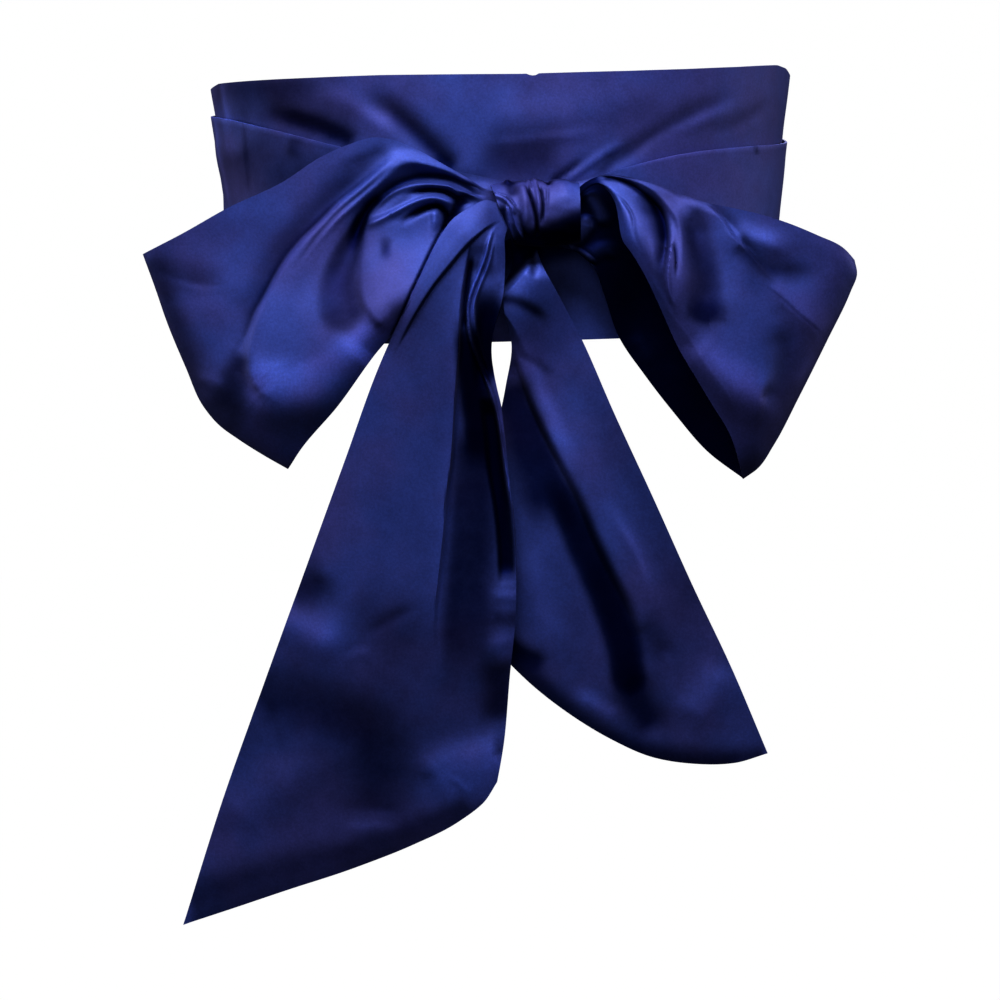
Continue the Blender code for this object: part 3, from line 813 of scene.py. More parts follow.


# The knot's pleats on its unrolled cloth: (x from the knot's middle, way round from its top)
# Their tones paint shade in the pleats and on the knot's underside, and highlights on the pleats
KNOT_FOLDS = (
    Fold("first thin pleat", ((-21, 10), (-17, 12.5), (-12, 15.5), (-8.5, 20.5)), 1.5, 0.7, 0.7, 0.1,
         0.2, crest=1.8, tone=0.1),
    Fold("second thin pleat", ((-18, 13.5), (-14, 16), (-11, 19.5), (-9.5, 22)), 1.3, 0.6, 0.7, 0.1,
         0.2, crest=1.8, tone=0.05),
    Fold("third thin pleat", ((-13, 19), (-12.2, 24), (-11.4, 29), (-9.3, 36)), 1.4, 0.7, 0.6, 0.15,
         0.1, crest=1.8, tone=0.2),
    Fold("fourth thin pleat", ((-10.8, 20), (-9.6, 25), (-8.4, 29), (-5.9, 34)), 1.3, 0.7, 0.6, 0.15,
         0.1, crest=1.8, tone=0.2),
    Fold("shade between the pleats", ((-15, 18), (-14.5, 26), (-12.5, 36)), -1.2, 1.4, 1.6, 0.2, 0.1,
         tone=-0.75),
    Fold("dark by the last pleat", ((-7.6, 22), (-6.6, 27), (-4.6, 33)), -0.8, 0.8, 1, 0.3, 0.1,
         tone=-0.35),
    Fold("plum hollow", ((-12, 3), (-10.4, 9), (-9, 15)), -1.2, 2.2, 2.6, 0.2, 0.4, tone=-0.42),
    Fold("first lobe", ((-7, 6), (-5, 14), (-4.4, 24), (-4.6, 32)), 1.3, 2.2, 1.9),
    Fold("crinkle", ((-3.4, 3), (-2.2, 8), (-2.6, 13)), 0.9, 0.6, 0.7, 0.2, 0.4),
    Fold("dark pleat", ((-3.4, 9), (-2.6, 13), (-1.2, 18), (0.2, 25), (0.4, 33)), -1.8, 0.7, 0.8, 0.15,
         0.1, tone=-0.7),
    Fold("narrow lobe", ((-0.6, 2), (0.6, 10), (1.4, 18), (1.7, 26)), 1.2, 0.9, 1, tone=0.06),
    Fold("second dark pleat", ((1.6, 8), (2.9, 14), (3.3, 19), (2.4, 27)), -1.4, 0.6, 0.7, 0.2, 0.2,
         tone=-0.55),
    Fold("small pleat", ((5.6, 9), (5.2, 16), (4.6, 24)), -0.6, 0.6, 0.8, 0.3, 0.4, tone=-0.2),
    Fold("top dent", ((5.3, -3), (5.6, 2), (6.4, 7)), -2, 1.7, 1.8, 0.2, widen=0.7, tone=-0.35),
    Fold("peak", ((-13, -5), (-12.4, 1), (-11.8, 6)), 1.7, 1.5, 1.8, 0.2, 0.4),
    Fold("second peak", ((-1, -4), (-0.5, 1), (0, 5)), 0.8, 2.2, 2, 0.2, 0.4),
    shade("dark upper rim", ((-16, 3), (-6, 3), (4, 3), (20, 3)), -0.35, 2.2, 8, 0.1, 0.1),
    Fold("broad lobe", ((12, -4), (12.5, 10), (11.5, 22)), 1.1, 5, 4.5),
    Fold("bright broad end", ((14, 8), (15, 14), (15, 19)), 0.3, 3, 4, 0.3, tone=0.12),
    shade("low shade", ((-16, 46), (-8, 43), (-1.3, 39.5), (7.6, 36), (18.7, 31), (24, 29)), -0.82, 16,
          8.5, 0, 0, crest=4),
    Slack(0.1, 9, 5),
)


@dataclass
class Knot(ClothPiece):
    """The short stretch wound round the bow's middle: a pleated ring round the X axis."""
    name: str = "knot"
    cells: tuple[int, int] = (190, 90)
    flat: tuple[float, float] = (40.0, 95.0)
    held: Held = Held.GATHERED
    rests_on: tuple[str, ...] = ("wrap_left", "wrap_right")
    centre: tuple[float, float, float] = (14.0, -112.2, -2.5)
    radius: float = 14.4
    half_length: float = 20.0
    slant: float = 10.0                 # how much further right the left end lies at the bottom
    waisting: float = 1.6               # how much thinner its ends are
    puff: float = 0.5                   # how far its cloth stands off the plain ring
    shown: tuple[float, float] = (-0.6, 0.3)    # how far forward the pleats come in, in radii
    turn_back: float = 0.75             # share of the way round past which it counts back from the top

    def place(self, along: np.ndarray, across: np.ndarray) -> tuple[np.ndarray, np.ndarray]:
        """Find the knot's outer face.

        Args:
            along: Shares of the way round, from the top and first to the front.
            across: Shares of its length, from its left end.

        Returns:
            One point and one tone for each pair of shares.
        """
        turn = along * math.tau
        front, upward = np.sin(turn), np.cos(turn)
        slant = self.slant * (1.0 - upward) / 2.0 * (1.0 - across)
        reach = (2.0 * across - 1.0) * self.half_length + slant
        arc = np.where(along > self.turn_back, turn - math.tau, turn) * self.radius
        relief, painted_tones = folded(KNOT_FOLDS, reach, arc) * smooth_step(*self.shown, front)
        radius = self.radius - self.waisting * (2.0 * across - 1.0) ** 2 + self.puff
        radius = radius + relief
        x, y, z = self.centre
        return np.column_stack((x + reach, y - radius * front, z + radius * upward)), painted_tones


@dataclass(frozen=True)
class LoopOutline:
    """A bow loop's lines from the knot out, and its outer fold from the top: (x, z)."""
    front_top: Path
    front_bottom: Path
    back_top: Path
    back_bottom: Path
    outer_fold: Path


LEFT_LOOP = LoopOutline(
    front_top=((0, 6.4), (-9, 9.4), (-16, 14), (-26, 20), (-40, 28), (-50, 32), (-57, 33), (-69, 30),
               (-81, 25), (-99, 14), (-124, 3), (-145, -8), (-164, -17)),
    front_bottom=((1, -6), (-10, -14), (-33, -38), (-56, -60), (-77, -87), (-94, -106),
                  (-101, -116)),
    back_top=((0, 3), (-12, 4), (-35, 14), (-60, 18), (-90, 10), (-125, -1), (-164, -17)),
    back_bottom=((1, -5), (-12, -14), (-35, -35), (-58, -57), (-80, -85), (-101, -116)),
    outer_fold=((-164, -17), (-159, -32), (-154, -48), (-146, -69), (-139, -86), (-132, -95),
                (-123, -102), (-111, -110), (-101, -116)),
)
RIGHT_LOOP = LoopOutline(
    front_top=((30, 5), (37, 11), (45, 14), (54, 13), (66, 10), (76, 6), (89, 1), (102, -2),
               (114, -5), (126, -9), (140, -15), (152, -21), (158, -27)),
    front_bottom=((30, 2), (36, 7), (42, 10), (46.5, 7), (49.5, 2), (51, -6), (52.5, -15), (57, -22),
                  (62, -31), (67, -42), (77, -65), (85, -79), (92, -91), (98, -101), (106, -125)),
    back_top=((30, 5), (36, 9), (42, 12), (50, 11), (60, 8), (80, -1), (100, -9), (125, -16),
              (145, -24), (158, -27)),
    back_bottom=((29, -10), (29, -17), (34, -22), (40, -28), (44.5, -40), (51, -59), (62, -76),
                 (76, -95), (91, -113), (106, -125)),
    outer_fold=((158, -27), (159, -33), (156, -41), (145, -63), (132, -88), (120, -110),
                (113, -120), (106, -125)),
)
# Lines that several of the left loop's folds follow: (x, z)
LEFT_VALLEY = ((-58.5, 17.8), (-67, 11.3), (-74.2, 6.2), (-82.6, -2.4), (-91, -9.8), (-98.3, -17.8),
               (-104.3, -26.8), (-109.3, -36), (-114.2, -44.2), (-117.7, -53.4), (-121, -59.5),
               (-124.6, -65.4))
LEFT_TROUGH = ((-17.6, 11), (-24.1, 14.1), (-32.9, 15.2), (-41.7, 14.2), (-49.5, 10.8), (-55.1, 6.2))
# The loops' folds: (x, z) on the front layer
# Their tones paint shade in the troughs and hollows and highlights on the swells
LEFT_LOOP_FOLDS = (
    Fold("roll over the plane", ((-44, 27), (-51, 20.5), (-58, 15), (-65.5, 9), (-74.3, 2),
         (-81.8, -4.8), (-89, -13), (-95.2, -20.7), (-101.2, -29.7), (-106.2, -38.2), (-110.6, -47.5),
         (-113.6, -56.5), (-115, -65), (-113.8, -73), (-109, -79.5), (-100, -83)), 3, 11, 2.6, 0.1,
         0.15, widen=1.15, tone=0.05, steps=28),
    Fold("inner line of the roll", ((-44, 22), (-54, 13.3), (-65.7, 3.9), (-74.2, -3), (-81.3, -11),
         (-87.3, -18)), 0.7, 1.4, 1.4, 0.2, 0.4, tone=0.1),
    Fold("line along the roll", ((-52, 18), (-61, 10.2), (-70, 3), (-77.8, -4), (-85, -12), (-91, -20),
         (-97, -29)), -0.5, 0.9, 0.9, 0.2, 0.4, widen=1.2, tone=-0.16),
    Fold("valley beside the roll", ((-50, 24), *LEFT_VALLEY, (-130, -72)), -2.6, 2, 8, 0.2, 0.35,
         steps=28),
    shade("soft shade on the plane", ((-52, 23), *LEFT_VALLEY), -0.3, 1.1, 6.5, 0.2, steps=28),
    shade("dark of the valley", LEFT_VALLEY, -0.18, 0.9, 2, 0.35, 0.25, steps=28),
    shade("wedge under the plane", ((-118.6, -61), (-120.3, -68), (-123.5, -78), (-129, -94)), -0.44,
          3.2, 4.2, crest=3, widen=3.4),
    Fold("patch by the rail", ((-50, 29), (-57, 24.5), (-66, 21), (-76, 18)), -0.7, 5, 3.5, 0.25, 0.5,
         tone=-0.16),
    Fold("crest of the rail", ((-12, 9.5), (-18, 13.8), (-26, 18), (-34, 20.6), (-42, 21.8),
         (-49, 19.5), (-55, 14.5)), 2.4, 2.2, 6, tone=0.12),
    Fold("deep trough", ((-9, 5.2), *LEFT_TROUGH, (-60.8, 1), (-65, -7), (-68.3, -15), (-71.5, -25),
         (-73.5, -36), (-73, -48)), -2.8, 1.5, 1.6, 0.06, 0.22, widen=4.6, steps=28),
    shade("dark of the trough", ((-10, 6), *LEFT_TROUGH, (-60.6, 1.2), (-63.6, -4), (-66, -9),
          (-68.6, -16), (-70.8, -22)), -0.66, 1.2, 1.4, 0.08, 0.25, widen=2.2, steps=28),
    Fold("funnel", ((-55, 6.5), (-60.4, 1.8), (-63.4, -3.5), (-66, -9), (-68.6, -15.5)), -1.8, 1.3, 2.2,
         0.2, 0.4, widen=1.2, tone=-0.4),
    shade("floor of the trough", ((-63.6, -2), (-67, -10), (-71, -18), (-74, -27), (-74.8, -35),
          (-73.6, -43)), -0.4, 2.2, 2.2, 0.05, 0, crest=6, widen=4.8),
    shade("corner of the trough", ((-68, -44), (-60, -50)), -0.08, 3.2, 3.2, 0.2, crest=3, widen=0.6),
    Fold("inner swell", ((-60, -1), (-62.3, -11), (-63.8, -21), (-64.3, -31), (-62.6, -40), (-57, -48),
         (-50, -54)), 1.6, 16, 2, 0.1, 0.15, tone=-0.14),
    Fold("swell by the tail", ((-48, -44), (-55, -53), (-64, -63), (-74, -72)), 0.5, 9, 12, 0.2,
         tone=0.32),
    Fold("upper arc", ((-10, 5), (-17.7, 7.7), (-24.2, 10.4), (-33, 11.7), (-40.7, 11.4), (-48.4, 8.9),
         (-55.1, 4.1), (-59.5, -1)), 1.6, 1.5, 1, 0.06, 0.15, tone=-0.06),
    Fold("under the upper arc", ((-45, 6.6), (-38.5, 8.6), (-33, 9.2), (-25.4, 7.9), (-21, 5.2),
         (-18.9, 2.6)), -2.2, 1, 1.4, 0.35, 0.1, tone=-0.62),
    Fold("arc's fork", ((-25, 11), (-21.4, 8), (-19.5, 4.5)), 1.2, 0.8, 0.8, 0.2),
    Fold("lower arc", ((-62, -5.6), (-55.3, -3.2), (-48.6, -0.1), (-42, 3.1), (-36.4, 5.1),
         (-30.9, 5.6), (-26.6, 4.4), (-23.3, 2.4), (-21.4, -0.4)), 2, 1, 2, 0.1, 0.15, crest=1.8,
         tone=0.12),
    Fold("hollow under the arc", ((-46.5, -5.6), (-42.1, -2.4), (-37.6, 0.2), (-33.2, 1.8),
         (-28.8, 1.7), (-26.4, -1), (-25.7, -5.2), (-26.6, -9)), -3.4, 1.1, 1.7, 0.35, 0.1, tone=-0.78),
    Fold("upright fold", ((-31, -0.5), (-31, -5), (-31.5, -10)), 1.8, 1.5, 1.6, 0.25, 0.5, tone=0.12),
    Fold("dark end of the arcs", ((-16, 5), (-19.5, 3.5), (-22, -1), (-24.5, -7)), -3.6, 2.2, 2, 0.2,
         0.1, tone=-0.85),
    Fold("gap by the tail", ((-26.6, -6.3), (-30.3, -12.8), (-34.9, -21.5), (-41.8, -35.6),
         (-47.7, -47.6), (-52.3, -56.3)), -1.2, 0.6, 0.6, 0.05, 0.05, tone=-0.7),
    Fold("dimple", ((-52.9, -14.5), (-52.9, -19.5)), -0.7, 2.2, 2.2, 0.4, 0.4, tone=-0.34),
    Fold("low swell", ((-116, -76), (-110, -82), (-98, -85), (-84, -86), (-70, -79), (-58, -65)), 2.6,
         15, 12, 0.2, 0.1),
    shade("shine on the swell", ((-109, -72), (-100, -73), (-88, -71.5), (-76, -66), (-64, -57)), 0.3,
          8, 12, 0, 0, crest=3),
    shade("light on the underside", ((-128, -95), (-118, -101), (-104, -110)), 0.26, 14, 6, 0.3, 0),
    Fold("crease in the plane", ((-158, -22), (-149, -27), (-141, -29.5), (-124, -31.4)), -0.6, 6, 2.2,
         0.15, 0.4, tone=-0.16),
    shade("light on the plane", ((-152, -36), (-136, -38), (-120, -38)), 0.1, 2.6, 8, 0.2),
    Fold("edge bump", ((-142, -71), (-134, -74), (-126, -78)), 0.7, 3, 2.6, 0.3, tone=0.2),
    shade("dark outer edge", ((-162, -18), (-154.5, -34), (-148.2, -53), (-141.8, -70.5), (-137, -82)),
          -0.3, 6.5, 5, 0.08, 0.1),
    Slack(0.2, 42, 21),
)
# Their tones paint shade in the troughs and hollows and highlights on the swells
RIGHT_LOOP_FOLDS = (
    Fold("shine on the front rim", ((44, 12.5), (49, 6), (52.5, -1), (54.5, -9), (57, -18), (62, -30)),
         0.8, 3.4, 3, 0.05, 0.35, tone=0.16),
    Fold("crease in the rim", ((49.5, 5.8), (54.7, 0.3), (57.3, -5), (57.8, -13), (61, -21.1)), -0.7,
         0.8, 0.9, 0.2, 0.5, tone=-0.18),
    shade("grey between rim and core", ((52, 9), (58, 5), (62, -2), (64, -11), (65.5, -20)), -0.22, 4,
          3.5, 0.2),
    Fold("rim strip", ((60, -26), (67.3, -38.6), (72.5, -49), (79, -57.8), (85.5, -68.5), (92.1, -78),
         (98.6, -88), (102, -98)), 0.2, 1.4, 6, 0.2, 0.2, crest=3, tone=-0.1),
    Fold("root line", ((44.2, 13), (50.9, 12), (57.5, 9.1), (62.8, 4.9), (67.6, 0.2), (70.4, -4)), -1.4,
         0.7, 1, 0.1, 0.1, widen=1.6, tone=-0.55),
    Fold("deep trough", ((61, 6), (67.2, 0.5), (70.6, -5), (71.6, -11), (71.6, -18), (70.5, -27),
         (70.5, -37)), -4, 1.8, 4.2, 0.2, 0.45, tone=-0.2),
    shade("black core", ((66.5, 1.5), (69.8, -3.6), (71.1, -9.4), (71.5, -14.7), (72, -19)), -0.7, 1.5,
          3.4, 0.25, widen=0.8),
    Fold("dark beside the small fold", ((71, -19), (69.3, -26), (69, -33), (71, -41)), -0.8, 1.8, 2.6,
         0.1, 0.5, tone=-0.32),
    Fold("small fold", ((73.8, -15), (72.7, -23), (71.9, -30.5), (72.3, -38.5), (75, -46)), 1.5, 1, 1,
         0.2, 0.35, tone=0.12),
    Fold("shade of the small fold", ((75.4, -17), (75.9, -24.5), (75.3, -33)), -0.9, 0.8, 0.8, 0.2, 0.4,
         tone=-0.5),
    Fold("second fold", ((48, 14.5), (58, 12.2), (66, 7.4), (73, 0.2), (77.6, -7), (79, -16),
         (79.2, -27), (79, -38)), 1.8, 4.6, 1.8, 0.06, 0.4),
    shade("quiet root", ((50, 14), (62, 11), (72, 5), (82, 2)), -0.14, 4, 3, 0.2),
    Fold("round hollow", ((81, 3), (84, -8), (86.5, -19), (88.5, -30), (89.5, -42), (90, -54)), -2.8, 8,
         7, 0.3, crest=2.2, widen=1.4),
    shade("dark of the hollow", ((81.6, 0), (84.8, -9), (87.2, -19.5), (89.4, -31), (90, -44.5)), -0.4,
          4.8, 6.2, 0.3, 0, crest=3.5, widen=1.5),
    shade("bottom of the hollow", ((79, -47), (88, -51), (99, -50.5)), -0.28, 7, 3, 0.15, 0.15),
    Fold("ridge line", ((79, 5), (89.4, 0.1), (96.3, -6.8), (101.6, -15), (108.2, -21.8),
         (114.7, -29.9), (121.3, -38.1)), 2.6, 1.1, 9, steps=24),
    shade("shade by the ridge", ((88, 1.5), (97, -4.5), (104, -11), (109, -20.5)), -0.26, 3.6, 0.8,
          0.25, 0.2),
    Fold("thin line", ((84, 3.6), (95, 1.4), (104.5, -0.2), (116.5, -3.4), (125.5, -6.6)), 0.5, 0.8,
         0.9, tone=0.1),
    Fold("outer swell", ((99, -11), (108, -15), (119, -18.5), (132, -23)), 1.5, 5.5, 4.5, 0.25, 0.35),
    shade("shine on the outer swell", ((103, -10.5), (110, -13.6), (117, -15.6), (126, -19)), 0.22, 3.2,
          3, 0.25, 0.4),
    Fold("outer trough", ((104, -18.5), (112, -25.5), (121, -29.5), (132, -32), (145, -33)), -1.4, 4, 5,
         0.1, 0.4, widen=1.2),
    shade("dark of the outer trough", ((105, -19.5), (111, -25), (118, -29.3), (127, -31.5),
          (141, -33)), -0.4, 2.8, 4.6, 0.12, 0.4, crest=2.2, widen=1.3),
    Fold("light facet", ((116, -35), (125, -42.6), (134, -51), (144, -59)), 0.5, 10, 1, 0.2, 0.1,
         crest=2.5, tone=0.16),
    shade("shade below the facet", ((120, -42), (128, -50), (137, -58), (141, -64)), -0.14, 0.8, 7, 0.2,
          0.2),
    Fold("dark fold by the edge", ((121, -54), (123.5, -64), (123.5, -75), (120.5, -85), (115, -91)),
         -1.4, 6.5, 6, 0.25, 0.2, widen=1.3, tone=-0.21),
    Fold("light by the edge", ((140, -67), (134, -76), (129, -84)), 0.5, 2.6, 2.6, 0.3, tone=0.16),
    Fold("low swell", ((80, -62), (88, -70), (98, -78), (108, -85), (116, -87)), 1.8, 14, 13, 0.2, 0.1),
    shade("shine on the low swell", ((79, -56), (87, -65.5), (97, -74), (107, -81), (115, -84)), 0.36,
          8, 6, 0.4, 0.05, widen=1.1),
    shade("shade under the low swell", ((94, -87), (104, -93), (113, -96), (120, -93)), -0.1, 4, 8,
          0.25, 0.25),
    shade("dark root", ((28, 4), (34, 8), (39, 11), (44, 13)), -0.75, 5, 6, 0, 0.2, crest=3, widen=0.8),
    Slack(0.2, 42, 22),
)
# Crumpled cloth inside the right loop by the knot: (x, z) on its back layer
# Their tones paint highlights on the crumples against the painted dark inside of the loop
RIGHT_INNER_FOLDS = (
    Fold("first crumple", ((39.6, 3.5), (42, -1), (43.8, -5)), 2, 3.4, 3, 0.15, 0.12, crest=2.6,
         tone=0.46),
    Fold("second crumple", ((29, -16), (33, -12.5), (37, -8)), 2.4, 3.8, 3.2, 0.15, 0.15, crest=4,
         tone=0.56),
    Fold("third crumple", ((39.5, -21.5), (43.5, -19.5), (48.5, -19.5)), 1.6, 3.2, 3.2, 0.2, crest=3,
         tone=0.26),
    Fold("first pleat", ((26.5, -18.7), (32.6, -22.1), (40.5, -28.3)), 1.6, 0.8, 0.8, 0.15, 0.2,
         tone=0.55),
    Fold("second pleat", ((29, -17.2), (35, -20.6), (40, -24.4)), 1.2, 0.7, 0.7, 0.15, 0.2, tone=0.42),
    Fold("low glow", ((57, -58), (62, -66), (61, -74)), 0.8, 5, 5, 0.3, tone=0.14),
    Slack(0.2, 40, 23),
)


@dataclass
class BowLoop(ClothPiece):
    """A bow loop: one strip that goes out as the front layer and comes back as the back layer."""
    name: str = "loop_left"
    cells: tuple[int, int] = (320, 150)
    flat: tuple[float, float] = (118.0, 330.0)
    held: Held = Held.FOLDED
    rests_on: tuple[str, ...] = ("knot",)
    outline: LoopOutline = LEFT_LOOP
    folds: tuple = LEFT_LOOP_FOLDS
    inner_folds: tuple = (Slack(0.3, 40.0, 24),)
    root_depth: float = -109.0          # y of the loop's middle at the knot
    fold_depth: float = -101.0          # y of the outer fold
    front_edge: float = 12.0            # how far the front layer's upper edge stands out
    front_hem: float = 17.0             # how far its lower edge does
    front_crown: float = 15.0           # how much further its centre line does
    back_edge: float = 8.0
    back_crown: float = 5.0
    back_form: float = 1.2              # above 1 the back layer's belly is drawn together
    root_gap: float = 2.4               # half the space between the layers at the knot
    open_share: float = 0.5             # share of the length over which the layers part
    fold_share: float = 0.15            # share of the length over which the outer fold opens out
    belly_top: float = 0.75             # what the belly's rise and fall along the loop is divided by
    sag: float = 2.0                    # above 1 the belly lies below the middle
    root_sag: float = 0.0               # how much more so at the knot
    root_hem: float = 0.0               # how little its lower edge turns under at the knot
    back_tilt: float = 0.0              # how much further back the back layer's lower edge lies
    lean_back: float = 1.5              # above 1 the loop stays forward until near its outer fold
    quiet_root: float = 0.08            # share of the length over which creases come in at the knot
    quiet_fold: float = 0.12            # the same at the outer fold
    rim_width: float = 0.10             # share of the width over which creases flatten at an edge
    rim_crease: float = 0.35            # how much of a crease is left at the edge itself
    # painted shade on the inner face: the loop's inside looks nearly black from every side
    inside_painted_shade: float = -0.78
    front_share: float = 0.62           # share of the grid's columns that the front layer takes
    crowding: float = 1.5               # above 1 those columns are closer at the outer fold

    def layer(self, along: np.ndarray, across: np.ndarray,
              front: bool) -> tuple[np.ndarray, np.ndarray]:
        """Find the points of the front or the back layer.

        Args:
            along: Shares from the knot to the outer fold.
            across: Shares from the upper edge to the lower one.
            front: Whether it is the front layer.

        Returns:
            One (x, y, z) point and one tone for each pair of shares.
        """
        top = self.outline.front_top if front else self.outline.back_top
        bottom = self.outline.front_bottom if front else self.outline.back_bottom
        spot = patch_at((top[0], bottom[0]), self.outline.outer_fold, top, bottom, along, across)
        edge = self.back_edge
        if front:
            edge = self.front_edge + (self.front_hem - self.front_edge) * across ** 2
        crown = self.front_crown if front else self.back_crown
        rise = smooth_step(0.0, self.open_share, along)
        crease = np.sqrt(1.0 - np.exp((along - 1.0) / self.fold_share))
        belly = np.sqrt(1.0 - along) * rise / self.belly_top
        swell = (self.root_gap + (edge - self.root_gap) * rise) * crease
        sag = across
        if front:
            sag = across ** (self.sag + self.root_sag * (1.0 - along) ** 2)
            sag = sag * (1.0 - self.root_hem * (1.0 - along) ** 2)
        form = 1.0 if front else self.back_form
        swell = swell + crown * np.sin(math.pi * sag) ** form * belly
        close = smooth_step(0.0, self.quiet_fold, 1.0 - along)
        close = close * smooth_step(0.0, self.quiet_root, along)
        from_edge = across if front else np.minimum(across, 1.0 - across)
        inward = smooth_step(0.0, self.rim_width, from_edge)
        folds = self.folds if front else self.inner_folds
        relief, painted_tones = folded(folds, spot[:, 0], spot[:, 1])
        relief = relief * close * (self.rim_crease + (1.0 - self.rim_crease) * inward)
        middle = self.fold_depth - self.root_depth
        middle = self.root_depth + middle * along ** self.lean_back
        if front:
            depth = middle - np.maximum(swell + relief, self.root_gap * crease)
        else:
            depth = middle + swell - relief + self.back_tilt * across ** 3 * rise
        return np.column_stack((spot[:, 0], depth, spot[:, 1])), painted_tones

    def place(self, along: np.ndarray, across: np.ndarray) -> tuple[np.ndarray, np.ndarray]:
        """Find the loop's outer face.

        Args:
            along: Shares of the strip, out as the front layer and home as the back layer.
            across: Shares of its width, from the upper edge.

        Returns:
            One point and one tone for each pair of shares.
        """
        turn = np.where(along < self.front_share, 1.0 - along / self.front_share,
                        (self.front_share - along) / (1.0 - self.front_share))
        reach = 1.0 - np.abs(turn) ** self.crowding
        front, front_painted_tone = self.layer(reach, across, True)
        back, back_painted_tone = self.layer(reach, across, False)
        return (np.where((turn > 0)[:, None], front, back),
                np.where(turn > 0, front_painted_tone, back_painted_tone))


@dataclass(frozen=True)
class TailOutline:
    """A hanging tail's edges from the knot down, its ends from the left, and how far back it is."""
    root: Path
    left_edge: Path
    right_edge: Path
    cut_end: Path
    depths: tuple[float, ...]           # y down the tail, at even steps


LEFT_TAIL = TailOutline(
    root=((0, 1), (1, -3), (2, -7)),
    left_edge=((0, 1), (-8, 4), (-15, 1), (-23, -4), (-29, -12), (-38, -29), (-48, -49), (-57, -68),
               (-74, -111), (-94, -162), (-114, -213), (-134, -265), (-154, -323)),
    right_edge=((2, -7), (0, -13), (0, -20), (-1, -36), (-7, -61), (-3, -92), (-1, -113), (1, -140),
                (1, -185), (-2, -210), (-6, -245), (-9, -260)),
    cut_end=((-154, -323), (-135, -317), (-104, -307), (-75, -298), (-48, -288), (-27, -278),
             (-15, -269), (-9, -260)),
    depths=(-122.6, -131, -126, -121, -118, -115, -113),
)
RIGHT_TAIL = TailOutline(
    root=((3, -13), (8, -13), (13, -13)),
    left_edge=((3, -13), (3, -26), (-1, -36), (-1, -46), (2, -61), (-1, -80), (-7, -105),
               (-14, -130), (-21, -155), (-26, -176)),
    right_edge=((13, -13), (16, -24), (23, -38), (33, -58), (48, -94), (65, -133), (82, -173),
                (99, -211), (115, -251)),
    cut_end=((-26, -176), (-15, -192), (-2, -207), (8, -217), (28, -233), (44, -243), (61, -251),
             (81, -255), (100, -255), (115, -251)),
    depths=(-101, -104, -107, -108, -108, -107, -106),
)
